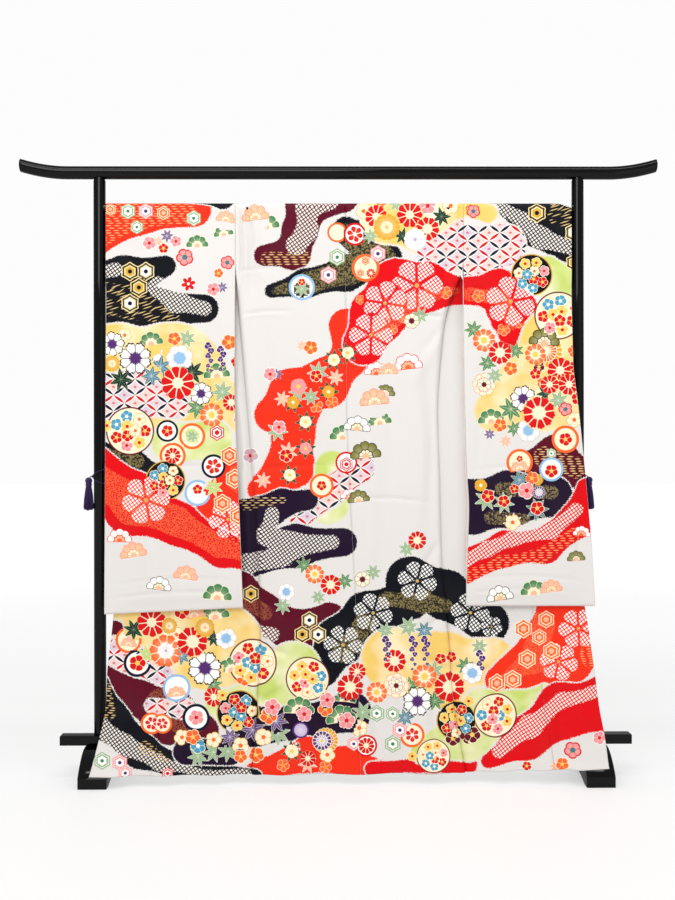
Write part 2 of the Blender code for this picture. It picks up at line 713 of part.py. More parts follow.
def foot_outline():
    """Half of the foot seen from the side: the toe, the crest up to the saddle, and the arch."""
    crest = []
    steps = 7
    for i in range(steps + 1):
        share = i / steps
        y = FOOT_HALF_DEPTH - (FOOT_HALF_DEPTH - FOOT_SADDLE) * share
        rise = math.sin(share * math.pi / 2) ** FOOT_CURVE
        crest.append((y, FOOT_TOE_HEIGHT + (FOOT_HEIGHT - FOOT_TOE_HEIGHT) * rise))
    arch = []
    arch_steps = 4
    for i in range(arch_steps + 1):
        share = i / arch_steps
        y = (FOOT_HALF_DEPTH - FOOT_PAD) * (1 - share)
        arch.append((y, FOOT_ARCH * math.sin(share * math.pi / 2)))
    toe = [(FOOT_HALF_DEPTH, 0.0)]
    return toe, crest, arch


def foot(name, side, home, paint):
    """A foot across the stand: two toes on the floor, an arch between them, the rail's saddle above."""
    toe, crest, arch = foot_outline()
    near = [(-y, z) for y, z in toe + crest]
    far = [(y, z) for y, z in reversed(toe + crest)]
    under = arch + [(-y, z) for y, z in reversed(arch[:-1])]
    outline = near + far + under
    mesh = bpy.data.meshes.new(name)
    mesh.from_pydata([(0.0, y, z) for y, z in outline], [], [tuple(range(len(outline)))])
    made = object_from(name, mesh, home, paint)
    made.location.x = side * FOOT_X + BASE_SHIFT
    plank = made.modifiers.new("Plank", "SOLIDIFY")
    plank.thickness = FOOT_WIDTH
    plank.offset = 0.0
    round_edges(made, FOOT_EDGE, 1)
    return made


def strand(start, end, width):
    """One lock of the skirt: a square-sided taper from its root to its tip."""
    lock = bmesh.new()
    drop = start - end
    bmesh.ops.create_cone(
        lock, cap_ends=True, segments=4, radius1=width, radius2=width * 0.8, depth=drop.length
    )
    mesh = bpy.data.meshes.new("lock")
    lock.to_mesh(mesh)
    lock.free()
    turn = drop.to_track_quat("Z", "Y").to_matrix().to_4x4()
    mesh.transform(turn)
    mesh.transform(Matrix.Translation((start + end) / 2))
    return mesh


def tassel(name, side, home, cutters, paint):
    """A cord wound twice round the post and knotted on its outer side, with a tassel hung from it."""
    knot = Vector((side * (POST_X + POST_RADIUS + TASSEL_KNOT_OUT), 0.0, TASSEL_KNOT_HEIGHT))
    axis_x = side * (POST_X + POST_RADIUS + TASSEL_SKIRT_RADIUS + TASSEL_CLEARANCE)
    head = Vector((axis_x, 0.0, TASSEL_KNOT_HEIGHT - TASSEL_HEAD_DROP))
    bpy.ops.mesh.primitive_uv_sphere_add(
        segments=16, ring_count=9, radius=TASSEL_HEAD_RADIUS, location=head
    )
    made = bpy.context.object
    made.name = name
    for old in list(made.users_collection):
        old.objects.unlink(made)
    home.objects.link(made)
    made.data.materials.append(paint)
    pieces = bpy.data.collections.new(name + "_pieces")
    cutters.children.link(pieces)

    def piece(mesh, label):
        extra = bpy.data.objects.new(f"{name}_{label}", mesh)
        pieces.objects.link(extra)
        return as_cutter(extra)

    loop_radius = POST_RADIUS + FIT_GAP + TASSEL_CORD_RADIUS + 0.0004
    for turn in (1, -1):
        loop = []
        for i in range(TASSEL_LOOP_STEPS):
            angle = 2 * math.pi * (i + 0.25 * turn) / TASSEL_LOOP_STEPS
            rise = turn * (0.0006 + TASSEL_LOOP_RISE * abs(math.sin(angle / 2)))
            x = side * (POST_X + loop_radius * math.cos(angle))
            loop.append(Vector((x, loop_radius * math.sin(angle), TASSEL_KNOT_HEIGHT + rise)))
        piece(tube(loop, TASSEL_CORD_RADIUS, 1, closed=True), f"turn_{turn}")
    hanger = [knot + Vector((side * -0.001, 0.0, 0.0)), knot + Vector((side * 0.006, 0, -0.001)), head]
    piece(tube(hanger, TASSEL_CORD_RADIUS * 1.6, 1), "hanger")
    knot_ball = bmesh.new()
    bmesh.ops.create_uvsphere(knot_ball, u_segments=10, v_segments=6, radius=TASSEL_KNOT_RADIUS)
    knot_mesh = bpy.data.meshes.new("knot")
    knot_ball.to_mesh(knot_mesh)
    knot_ball.free()
    knot_mesh.transform(Matrix.Translation(knot))
    piece(knot_mesh, "knot")
    neck_top = head.z - TASSEL_NECK_TOP
    neck_bottom = head.z - TASSEL_NECK_BOTTOM
    neck = bmesh.new()
    bmesh.ops.create_cone(
        neck,
        cap_ends=True,
        segments=16,
        radius1=TASSEL_NECK_RADIUS,
        radius2=TASSEL_NECK_RADIUS,
        depth=neck_top - neck_bottom,
    )
    neck_mesh = bpy.data.meshes.new("neck")
    neck.to_mesh(neck_mesh)
    neck.free()
    neck_mesh.transform(Matrix.Translation(Vector((axis_x, 0.0, (neck_top + neck_bottom) / 2))))
    piece(neck_mesh, "neck")
    tip_height = TASSEL_KNOT_HEIGHT - TASSEL_LENGTH
    for ring, (radius, count) in enumerate(STRAND_RINGS):
        spread = radius * TASSEL_SKIRT_RADIUS / (STRAND_RINGS[0][0] + TASSEL_CLEARANCE)
        for i in range(count):
            angle = 2 * math.pi * (i + 0.37 * ring) / count
            out = Vector((math.cos(angle), math.sin(angle), 0.0))
            uneven = 0.003 * math.sin(5.1 * i + 2.3 * ring)
            root = Vector((axis_x, 0.0, neck_bottom + 0.004)) + out * radius
            tip = Vector((axis_x, 0.0, tip_height + uneven)) + out * spread
            piece(strand(root, tip, STRAND_RADIUS), f"lock_{ring}_{i}")
    modifier = made.modifiers.new("Fused", "BOOLEAN")
    modifier.operation = "UNION"
    modifier.operand_type = "COLLECTION"
    modifier.collection = pieces
    modifier.solver = "EXACT"
    return made


def paint_named(name, colour, roughness, metallic=0.0):
    paint = bpy.data.materials.new(name)
    paint.use_nodes = True
    surface = paint.node_tree.nodes["Principled BSDF"]
    surface.inputs["Base Color"].default_value = (*colour, 1.0)
    surface.inputs["Roughness"].default_value = roughness
    surface.inputs["Metallic"].default_value = metallic
    return paint


def build():
    for old in list(bpy.data.objects):
        bpy.data.objects.remove(old)
    home = bpy.data.collections.new("furisode_on_stand")
    cutters = bpy.data.collections.new("cutters")
    bpy.context.scene.collection.children.link(home)
    bpy.context.scene.collection.children.link(cutters)

    lacquer = (0.014, 0.014, 0.015)
    violet = (0.035, 0.012, 0.14)
    white = (0.86, 0.84, 0.83)
    top_bar(home, paint_named("bar_lacquer", lacquer, 0.18))
    post("post_left", -POST_X, home, cutters, paint_named("left_post_lacquer", lacquer, 0.25))
    post("post_right", POST_X, home, cutters, paint_named("right_post_lacquer", lacquer, 0.25))
    hanging_rod(home, paint_named("rod_lacquer", lacquer, 0.30))
    bottom_rail(home, cutters, paint_named("rail_lacquer", lacquer, 0.35))
    foot("foot_left", LEFT, home, paint_named("left_foot_lacquer", lacquer, 0.35))
    foot("foot_right", RIGHT, home, paint_named("right_foot_lacquer", lacquer, 0.35))
    tassel("tassel_left", LEFT, home, cutters, paint_named("left_tassel_silk", violet, 0.55))
    tassel("tassel_right", RIGHT, home, cutters, paint_named("right_tassel_silk", violet, 0.55))

    body_half("body_left", LEFT, home, paint_named("left_body_silk", white, 0.55))
    body_half("body_right", RIGHT, home, paint_named("right_body_silk", white, 0.55))
    overlap("overlap_left", LEFT, home, paint_named("left_overlap_silk", (0.80, 0.45, 0.33), 0.55))
    overlap("overlap_right", RIGHT, home, paint_named("right_overlap_silk", (0.78, 0.10, 0.07), 0.55))
    sleeve("sleeve_left", LEFT, home, paint_named("left_sleeve_silk", (0.85, 0.70, 0.60), 0.55))
    sleeve("sleeve_right", RIGHT, home, paint_named("right_sleeve_silk", (0.85, 0.60, 0.52), 0.55))
    collar("collar", home, paint_named("collar_silk", white, 0.55))


build()
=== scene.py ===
# A furisode kimono hung with its back to the viewer on a black lacquered kimono stand.
# Metres, +X to the viewer's right, +Y away from the viewer, +Z up, as in the frame.
import math
import bmesh
import bpy
import numpy as np
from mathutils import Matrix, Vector


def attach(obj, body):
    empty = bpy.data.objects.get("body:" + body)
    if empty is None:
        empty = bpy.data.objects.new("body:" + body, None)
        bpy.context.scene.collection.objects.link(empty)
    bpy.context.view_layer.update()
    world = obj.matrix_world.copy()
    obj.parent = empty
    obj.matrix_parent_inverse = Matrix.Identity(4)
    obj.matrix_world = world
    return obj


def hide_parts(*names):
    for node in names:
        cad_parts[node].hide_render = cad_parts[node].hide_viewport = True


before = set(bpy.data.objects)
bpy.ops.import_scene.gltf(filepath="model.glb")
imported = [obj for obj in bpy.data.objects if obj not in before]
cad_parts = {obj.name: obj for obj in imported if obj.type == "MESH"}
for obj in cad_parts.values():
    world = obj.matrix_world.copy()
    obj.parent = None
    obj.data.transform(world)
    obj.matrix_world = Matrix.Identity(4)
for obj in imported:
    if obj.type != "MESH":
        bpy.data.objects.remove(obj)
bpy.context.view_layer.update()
print("frame loaded:", len(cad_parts), "nodes")

left, right = -1.0, 1.0
scene = bpy.context.scene


def clearSelection():
    if bpy.context.object and bpy.context.object.mode != "OBJECT":
        bpy.ops.object.mode_set(mode="OBJECT")
    bpy.ops.object.select_all(action="DESELECT")
    bpy.context.view_layer.objects.active = None


def selectOnly(piece):
    clearSelection()
    piece.select_set(True)
    bpy.context.view_layer.objects.active = piece


def applyPlace():
    bpy.ops.object.transform_apply(location=True, rotation=True, scale=True)


# view, lights and floor
view = {
    "lens": 50.0,
    "away": 3.5306,     # from the posts' plane
    "height": 0.9205,
    "shiftAcross": -0.0355,
    "turn": -0.00864,   # radians, to the viewer's left
    "pitch": 0.0,       # degrees below level
    "tilt": 0.079,      # degrees of roll
}
cameraData = bpy.data.cameras.new("photoCamera")
cameraData.lens = view["lens"]
cameraData.sensor_width = 36.0
cameraData.clip_end = 200.0
camera = bpy.data.objects.new("photoCamera", cameraData)
scene.collection.objects.link(camera)
camera.location = (view["shiftAcross"], -view["away"], view["height"])
camera.rotation_euler = (
    math.radians(90.0 - view["pitch"]), math.radians(view["tilt"]), view["turn"])
scene.camera = camera
scene.view_settings.view_transform = "Standard"

lights = {
    "backdrop": 0.98,   # the white studio as the camera sees it
    "world": 0.57,      # and as it lights the cloth
    "floorNear": 0.50,  # the floor's own glow by the stand and far off
    "floorFar": 0.72,
    "key": (-0.9, -3.6, 4.1, 2.2, 92.0),     # x, y, z, size, power
    "fill": (2.6, -3.0, 1.6, 2.4, 10.0),
    "top": (0.0, -0.85, 3.8, 3.4, 34.0),     # a long strip, this deep
    "topDepth": 0.22,
    "back": (0.4, 3.2, 2.4, 3.0, 12.0),
}
world = bpy.data.worlds.new("studio")
world.use_nodes = True
sky = world.node_tree
seen = sky.nodes.new("ShaderNodeLightPath")
strength = sky.nodes.new("ShaderNodeMapRange")
strength.inputs[3].default_value = lights["world"]
strength.inputs[4].default_value = lights["backdrop"]
sky.links.new(seen.outputs["Is Camera Ray"], strength.inputs[0])
sky.links.new(strength.outputs[0], sky.nodes["Background"].inputs[1])
sky.nodes["Background"].inputs[0].default_value = (1.0, 1.0, 1.0, 1.0)
scene.world = world
for name in ("key", "fill", "top", "back"):
    x, y, z, wide, power = lights[name]
    lamp = bpy.data.lights.new(name + "Light", "AREA")
    lamp.shape = "RECTANGLE"
    lamp.size = wide
    lamp.size_y = lights["topDepth"] if name == "top" else wide
    lamp.energy = power
    made = bpy.data.objects.new(name + "Light", lamp)
    scene.collection.objects.link(made)
    made.location = (x, y, z)
    aim = Vector((0.0, 0.0, 0.95)) - made.location
    made.rotation_mode = "QUATERNION"
    made.rotation_quaternion = aim.to_track_quat("-Z", "Y")

clearSelection()
bpy.ops.mesh.primitive_plane_add(size=60.0, location=(0.0, 0.0, 0.0))
floor = bpy.context.object
floor.name = "studioFloor"


# node helper: a Flow is a number in a material, and sums on it make Math nodes
def maths(operation):
    def act(*values):
        return calc(operation, *values)
    return act


def swapped(operation):
    def act(second, first):
        return calc(operation, first, second)
    return act


class Flow:
    tree = None
    spot = 0
    __add__, __radd__ = maths("ADD"), swapped("ADD")
    __sub__, __rsub__ = maths("SUBTRACT"), swapped("SUBTRACT")
    __mul__, __rmul__ = maths("MULTIPLY"), swapped("MULTIPLY")
    __truediv__, __pow__ = maths("DIVIDE"), maths("POWER")

    def __init__(self, socket):
        self.socket = socket


def addNode(kind, **settings):
    node = Flow.tree.nodes.new(kind)
    node.location = (220 * (Flow.spot % 40), -180 * (Flow.spot // 40))
    Flow.spot += 1
    for name, value in settings.items():
        setattr(node, name, value)
    return node


def plug(socket, value):
    if isinstance(value, Flow):
        Flow.tree.links.new(value.socket, socket)
    elif hasattr(value, "is_output"):
        Flow.tree.links.new(value, socket)
    else:
        socket.default_value = value


def calc(operation, *values):
    node = addNode("ShaderNodeMath", operation=operation)
    for socket, value in zip(node.inputs, values):
        plug(socket, value)
    return Flow(node.outputs[0])


sine, size, fraction, whole = maths("SINE"), maths("ABSOLUTE"), maths("FRACT"), maths("FLOOR")
least, most, above = maths("MINIMUM"), maths("MAXIMUM"), maths("GREATER_THAN")


def invert(a):
    return calc("SUBTRACT", 1.0, a)


def edge(value, start, end):
    node = addNode("ShaderNodeMapRange", clamp=True)  # 0 at start, 1 at end
    plug(node.inputs[0], value)
    plug(node.inputs[1], start)
    plug(node.inputs[2], end)
    return Flow(node.outputs[0])


def blendColour(amount, below, over):
    node = addNode("ShaderNodeMix", data_type="RGBA", clamp_factor=True)
    plug(node.inputs[0], amount)
    plug(node.inputs[6], below)
    plug(node.inputs[7], over)
    return node.outputs[2]


def ink(red, green, blue):
    def linear(part):
        part = part / 255.0
        return part / 12.92 if part <= 0.04045 else ((part + 0.055) / 1.055) ** 2.4
    return (linear(red), linear(green), linear(blue), 1.0)


def noiseOf(where, scale, detail=2.0, rough=0.5):
    node = addNode("ShaderNodeTexNoise")
    plug(node.inputs["Vector"], where)
    node.inputs["Scale"].default_value = scale
    node.inputs["Detail"].default_value = detail
    node.inputs["Roughness"].default_value = rough
    return Flow(node.outputs[0])


def newMaterial(name):
    material = bpy.data.materials.new(name)
    material.use_nodes = True
    Flow.tree = material.node_tree
    Flow.spot = 0
    shader = Flow.tree.nodes["Principled BSDF"]
    return material, shader


def bumpOf(height, distance, strength=1.0):
    node = addNode("ShaderNodeBump")
    plug(node.inputs["Height"], height)
    node.inputs["Distance"].default_value = distance
    node.inputs["Strength"].default_value = strength
    return node.outputs[0]


def objectPlace():
    return addNode("ShaderNodeTexCoord").outputs["Object"]


# floor and lacquer
floorPaint, shader = newMaterial("paleFloor")
place = objectPlace()
speck = noiseOf(place, 1.4, 3.0)
plug(shader.inputs["Base Color"], blendColour(speck, ink(176, 176, 176), ink(180, 180, 180)))
spread = addNode("ShaderNodeVectorMath", operation="LENGTH")
plug(spread.inputs[0], place)
near, far = [(lights[name], lights[name], lights[name], 1.0) for name in ("floorNear", "floorFar")]
plug(shader.inputs["Emission Color"], blendColour(edge(Flow(spread.outputs["Value"]), 1.5, 6.0), near, far))
shader.inputs["Emission Strength"].default_value = 1.0
plug(shader.inputs["Roughness"], edge(speck, 0.0, 1.0) * 0.15 + 0.55)
floor.data.materials.append(floorPaint)

lacquer = {"black": ink(4, 4, 5), "brown": ink(8, 7, 7), "roughness": 0.15, "orangePeel": 0.00005}
lacquerPaint, shader = newMaterial("blackLacquer")
place = objectPlace()
cloudy = noiseOf(place, 7.0, 3.0)
worn = noiseOf(place, 60.0, 3.0, 0.6)
plug(shader.inputs["Base Color"], blendColour(cloudy * 0.5, lacquer["black"], lacquer["brown"]))
plug(shader.inputs["Roughness"], lacquer["roughness"] + cloudy * 0.05 + worn * 0.03)
shader.inputs["Specular IOR Level"].default_value = 0.0
shader.inputs["Coat Weight"].default_value = 0.35
shader.inputs["Coat Roughness"].default_value = 0.07
plug(shader.inputs["Normal"], bumpOf(noiseOf(place, 45.0, 1.0), lacquer["orangePeel"], 0.5))


def finishPiece(piece, paint, slot, *nodes):
    selectOnly(piece)
    applyPlace()
    if not piece.data.materials:
        piece.data.materials.append(paint)
    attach(piece, "root")
    if nodes:
        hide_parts(*nodes)
    clearSelection()


def applyModifiers(piece):
    selectOnly(piece)
    for modifier in list(piece.modifiers):
        bpy.ops.object.modifier_apply(modifier=modifier.name)


def countTriangles(piece):
    print(piece.name, sum(len(face.vertices) - 2 for face in piece.data.polygons), "triangles")


def selectFaces(piece, test):
    bpy.ops.object.mode_set(mode="EDIT")
    bpy.ops.mesh.select_mode(type="FACE")
    bpy.ops.mesh.select_all(action="DESELECT")
    work = bmesh.from_edit_mesh(piece.data)
    for face in work.faces:
        face.select_set(test(face.calc_center_median(), face.normal))
    bmesh.update_edit_mesh(piece.data)


# the stand: head rail, posts, low rail and feet
stand = {
    "postX": 0.675, "postRadius": 0.017, "neckRadius": 0.0146, "neckStep": 0.005,
    "barRadius": 0.0183, "barHalf": 0.8975, "barHeight": 1.703,
    "sweepStart": 0.765, "sweepRise": 0.021, "sweepSteps": 12,
    "baseShift": 0.0185, "railHalf": 0.804, "railDepth": 0.043, "railLow": 0.0923, "railThick": 0.027,
    "footX": 0.692, "footWidth": 0.079, "footHalf": 0.137, "footHeight": 0.092,
    "footToe": 0.029, "footSaddle": 0.024, "footPad": 0.032, "footArch": 0.018,
}


def makeTopBar():
    s = stand
    clearSelection()
    bpy.ops.mesh.primitive_cylinder_add(
        vertices=56, radius=s["barRadius"], depth=2 * s["sweepStart"],
        location=(0.0, 0.0, s["barHeight"]), rotation=(0.0, math.pi / 2, 0.0))
    bar = bpy.context.object
    bar.name = "topBar"
    applyPlace()
    reach = s["barHalf"] - s["sweepStart"]
    for side in (left, right):
        selectFaces(bar, lambda centre, normal: normal.x * side > 0.9 and centre.x * side > 0.7)
        before = 0.0
        for step in range(1, s["sweepSteps"] + 1):
            share = step / s["sweepSteps"]
            rise = s["sweepRise"] * share**1.9
            bpy.ops.mesh.extrude_region_move(TRANSFORM_OT_translate={
                "value": (side * reach / s["sweepSteps"], 0.0, rise - before)})
            before = rise
        bpy.ops.mesh.inset(thickness=0.0022)
        bpy.ops.transform.translate(value=(side * 0.0008, 0.0, 0.0))
        bpy.ops.object.mode_set(mode="OBJECT")
    bevelSharp(bar, 0.0012, 3)
    finishPiece(bar, lacquerPaint, "black_lacquer", "top_bar")


def bevelSharp(piece, width, segments):
    bevel = piece.modifiers.new("softEdges", "BEVEL")
    bevel.width = width
    bevel.segments = segments
    bevel.limit_method = "ANGLE"
    bevel.angle_limit = math.radians(38.0)
    bevel.harden_normals = False
    applyModifiers(piece)
    bpy.ops.object.shade_smooth_by_angle(angle=math.radians(32.0))


def makePost(name, side, node):
    s = stand
    low = s["footHeight"] + s["railThick"] + 0.0006
    neck = s["barHeight"] - s["barRadius"] + 0.0004
    bpy.ops.mesh.primitive_cylinder_add(
        vertices=48, radius=s["postRadius"], depth=neck - s["neckStep"] - low,
        location=(side * s["postX"], 0.0, (neck - s["neckStep"] + low) / 2))
    post = bpy.context.object
    post.name = name
    applyPlace()
    selectFaces(post, lambda centre, normal: normal.z > 0.9 and centre.z > 1.0)
    shrink = s["neckRadius"] / s["postRadius"]
    bpy.ops.mesh.extrude_region_move(TRANSFORM_OT_translate={"value": (0.0, 0.0, s["neckStep"])})
    bpy.ops.transform.resize(value=(shrink, shrink, 1.0), center_override=(side * s["postX"], 0.0, neck))
    bpy.ops.mesh.extrude_region_move(TRANSFORM_OT_translate={"value": (0.0, 0.0, 0.004)})
    bpy.ops.object.mode_set(mode="OBJECT")
    bevelSharp(post, 0.0009, 2)
    finishPiece(post, lacquerPaint, "black_lacquer", node)


def makeLowRail():
    s = stand
    middle = (s["baseShift"], 0.0, s["railLow"] + s["railThick"] / 2)
    bpy.ops.mesh.primitive_cube_add(size=1.0, location=middle)
    rail = bpy.context.object
    rail.name = "lowRail"
    bpy.ops.transform.resize(value=(2 * s["railHalf"], s["railDepth"], s["railThick"]))
    applyPlace()
    bevelSharp(rail, 0.0024, 4)
    finishPiece(rail, lacquerPaint, "black_lacquer", "bottom_rail")


def makeFoot(name, side, node):
    s = stand
    x = side * s["footX"] + s["baseShift"]
    bpy.ops.mesh.primitive_cube_add(size=1.0, location=(x, 0.0, 0.5 * s["footHeight"]))
    foot = bpy.context.object
    foot.name = name
    bpy.ops.transform.resize(value=(s["footWidth"], 2 * s["footHalf"], s["footHeight"]))
    applyPlace()
    bpy.ops.object.mode_set(mode="EDIT")
    crest, saddle, pad = s["footHalf"], s["footSaddle"], s["footPad"]
    outward = np.round(np.linspace(0.04, 0.985, 22) * crest, 5)
    cuts = np.concatenate([-outward[::-1], [0.0], outward])
    for y in cuts:
        bpy.ops.mesh.select_all(action="SELECT")
        bpy.ops.mesh.bisect(plane_co=(x, y, 0.0), plane_no=(0.0, 1.0, 0.0))
    bpy.ops.object.mode_set(mode="OBJECT")
    for point in foot.data.vertices:
        out = abs(point.co.y)
        if point.co.z > 0.5 * s["footHeight"]:
            share = min(max((crest - out) / (crest - saddle), 0.0), 1.0)
            rise = math.sin(share * math.pi / 2) ** 0.85
            point.co.z = s["footToe"] + (s["footHeight"] - s["footToe"]) * rise
        else:
            share = min(max((crest - pad - out) / (crest - pad), 0.0), 1.0)
            point.co.z = s["footArch"] * math.sin(share * math.pi / 2)
    bevelSharp(foot, 0.0022, 4)
    finishPiece(foot, lacquerPaint, "black_lacquer", node)


makeTopBar()
makePost("postLeft", left, "post_left")
makePost("postRight", right, "post_right")
makeLowRail()
makeFoot("footLeft", left, "foot_left")
makeFoot("footRight", right, "foot_right")
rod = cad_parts["hanging_rod"]
rod.data.materials.clear()
rod.data.materials.append(lacquerPaint)
print("stand made")


# the two silk tassels, tied on by a cord wound twice round each post
tassel = {
    "knotHeight": 0.847, "cord": 0.0010, "head": 0.0100, "neck": 0.0080, "skirt": 0.0142, "length": 0.095,
    "strands": 210, "strandWidth": 0.00062, "deep": ink(20, 6, 44), "bright": ink(60, 26, 104),
}
tasselPaint, shader = newMaterial("violetSilkCord")
strandsAlong = addNode("ShaderNodeMapping")
strandsAlong.inputs["Scale"].default_value = (900.0, 900.0, 40.0)
plug(strandsAlong.inputs[0], objectPlace())
streak = noiseOf(strandsAlong.outputs[0], 1.0, 2.0)
plug(shader.inputs["Base Color"], blendColour(edge(streak, 0.35, 0.70), tassel["deep"], tassel["bright"]))
plug(shader.inputs["Roughness"], streak * 0.2 + 0.40)
shader.inputs["Sheen Weight"].default_value = 0.15
shader.inputs["Specular IOR Level"].default_value = 0.25
plug(shader.inputs["Normal"], bumpOf(streak, 0.0003, 0.6))


def makeCords(name, lines, thickness, closed=False, tapered=0.0, rounded=1):
    curve = bpy.data.curves.new(name, "CURVE")
    curve.dimensions = "3D"
    curve.bevel_depth = thickness
    curve.bevel_resolution = rounded
    curve.use_fill_caps = not closed
    for line in lines:
        path = curve.splines.new("POLY")
        path.points.add(len(line) - 1)
        path.use_cyclic_u = closed
        for step, place in enumerate(line):
            path.points[step].co = (place[0], place[1], place[2], 1.0)
            path.points[step].radius = 1.0 - tapered * step / len(line)
    made = bpy.data.objects.new(name, curve)
    scene.collection.objects.link(made)
    selectOnly(made)
    bpy.ops.object.convert(target="MESH")
    return bpy.context.object


def makeTassel(name, side, node):
    t, s = tassel, stand
    axis = side * (s["postX"] + s["postRadius"] + 0.0147)
    headHeight = t["knotHeight"] - 0.0125
    knot = (side * (s["postX"] + s["postRadius"] + 0.0038), 0.0, t["knotHeight"])
    neckLow = headHeight - 0.016
    parts = []
    around = s["postRadius"] + t["cord"] + 0.0007
    loops = []
    for turn in (1, -1):
        loop = []
        for step in range(40):
            angle = 2 * math.pi * (step + 0.25 * turn) / 40
            rise = turn * (0.0006 + 0.021 * abs(math.sin(angle / 2)))
            loop.append((side * (s["postX"] + around * math.cos(angle)), around * math.sin(angle),
                         t["knotHeight"] + rise))
        loops.append(loop)
    parts.append(makeCords("turns", loops, t["cord"], closed=True, rounded=2))
    hanger = [(knot[0] - side * 0.001, 0.0, knot[2]), (knot[0] + side * 0.006, 0.0, knot[2] - 0.001),
              (axis, 0.0, headHeight)]
    parts.append(makeCords("hanger", [hanger], t["cord"] * 1.5))
    clearSelection()
    bpy.ops.mesh.primitive_uv_sphere_add(segments=20, ring_count=12, radius=0.0036, location=knot)
    parts.append(bpy.context.object)
    bpy.ops.mesh.primitive_uv_sphere_add(
        segments=32, ring_count=18, radius=t["head"], location=(axis, 0.0, headHeight))
    parts.append(bpy.context.object)
    bpy.ops.mesh.primitive_cylinder_add(
        vertices=32, radius=t["neck"], depth=0.014, location=(axis, 0.0, headHeight - 0.0095))
    parts.append(bpy.context.object)
    for drop in (0.0085, 0.0107, 0.0129):
        bpy.ops.mesh.primitive_torus_add(
            major_segments=36, minor_segments=8, major_radius=t["neck"], minor_radius=0.0012,
            location=(axis, 0.0, headHeight - drop))
        parts.append(bpy.context.object)
    locks = []
    for number in range(t["strands"]):
        share = math.sqrt((number + 0.5) / t["strands"])
        angle = 2.39996 * number
        root, tip = 0.0068 * share, t["skirt"] * share * (1.0 + 0.05 * math.sin(3.7 * number))
        low = t["knotHeight"] - t["length"] - 0.0025 * math.sin(5.1 * number) + 0.004 * share
        lock = []
        for step in range(6):
            drop = step / 5
            reach = root + (tip - root) * (1 - (1 - drop) ** 1.7)
            bend = angle + 0.10 * math.sin(2.3 * number) * drop
            wave = 0.0006 * math.sin(2 * math.pi * (drop * 1.3 + 0.17 * number)) * drop
            lock.append((axis + reach * math.cos(bend) + wave, reach * math.sin(bend) + wave,
                         neckLow + 0.004 + (low - neckLow - 0.004) * drop))
        locks.append(lock)
    parts.append(makeCords("strands", locks, t["strandWidth"], tapered=0.3, rounded=0))
    clearSelection()
    for part in parts:
        part.select_set(True)
    bpy.context.view_layer.objects.active = parts[-1]
    bpy.ops.object.join()
    made = bpy.context.object
    made.name = name
    bpy.ops.object.mode_set(mode="EDIT")
    bpy.ops.mesh.select_all(action="SELECT")
    bpy.ops.mesh.normals_make_consistent(inside=False)
    bpy.ops.object.mode_set(mode="OBJECT")
    made.data.materials.clear()
    bpy.ops.object.shade_smooth_by_angle(angle=math.radians(50.0))
    finishPiece(made, tasselPaint, "violet_silk_cord", node)
    countTriangles(made)


makeTassel("tasselLeft", left, "tassel_left")
makeTassel("tasselRight", right, "tassel_right")


# how the garment hangs, from the same named values as the CAD source
cut = {
    "cloth": 0.0009, "drapeRadius": 0.01325, "rodHeight": 1.603, "armholeEnd": 1.45, "sideSeamTop": 1.25,
    "hem": 0.028, "neckHalf": 0.09, "neckDrop": 0.012, "frontWidth": 0.262, "overlapWidth": 0.158,
    "overlapTip": 1.38, "collarEnd": 0.81, "collarWidth": 0.055, "cuff": 0.23, "seamGap": 0.0004,
    "sideRoll": 0.016, "sideRollTurn": math.radians(92), "turnLow": 0.62, "turnHigh": 0.72,
}
# each piece of cloth laid flat, across and along, and an overlap's area without its slanted corner
flatSizes = {"body": (0.33, 3.18), "overlap": (0.16, 1.36), "collar": (0.057, 1.74), "sleeve": (0.365, 2.30)}
overlapArea = 0.124
fullWidth = cut["frontWidth"] + cut["overlapWidth"]
# height, back, spread front, turned-in front, sleeve, half a sleeve's thickness
drapes = np.array([
    (1.603, -0.01325, 0.0120, 0.01325, 0.000, 0.01325), (1.500, -0.0133, 0.0120, 0.0138, 0.000, 0.0132),
    (1.450, -0.0135, 0.0120, 0.0150, -0.002, 0.0125), (1.400, -0.0139, 0.0112, 0.0235, -0.004, 0.0110),
    (1.320, -0.0150, 0.0085, 0.0240, -0.006, 0.0100), (1.250, -0.0165, 0.0050, 0.0210, -0.009, 0.0095),
    (1.060, -0.0220, -0.0040, 0.0120, -0.017, 0.0085), (0.800, -0.0320, -0.0130, 0.0000, -0.027, 0.0080),
    (0.600, -0.0390, -0.0200, -0.0110, -0.035, 0.0075), (0.470, -0.0450, -0.0275, -0.0200, -0.041, 0.0065),
    (0.350, -0.0530, -0.0370, -0.0300, -0.045, 0.0060), (0.200, -0.0700, -0.0560, -0.0500, -0.050, 0.0060),
    (0.028, -0.0900, -0.0770, -0.0720, -0.055, 0.0060),
])
# height, left side seam, centre seam, right side seam
seams = np.array([
    (1.603, -0.2915, 0.018, 0.3500), (1.450, -0.2915, 0.018, 0.3500), (1.380, -0.2870, 0.018, 0.3290),
    (1.310, -0.2830, 0.019, 0.3050), (1.160, -0.2700, 0.020, 0.2850), (1.020, -0.2580, 0.021, 0.2770),
    (0.840, -0.2440, 0.028, 0.2820), (0.570, -0.2270, 0.041, 0.2890), (0.400, -0.2210, 0.049, 0.3040),
    (0.220, -0.2290, 0.053, 0.3160), (0.028, -0.2430, 0.056, 0.3470),
])
# height, left and right front edges
edges = np.array([
    (0.850, -0.612, 0.655), (0.720, -0.620, 0.655), (0.640, -0.625, 0.651), (0.560, -0.630, 0.672),
    (0.460, -0.633, 0.692), (0.310, -0.647, 0.711), (0.200, -0.648, 0.720), (0.120, -0.662, 0.730),
    (0.028, -0.682, 0.736),
])
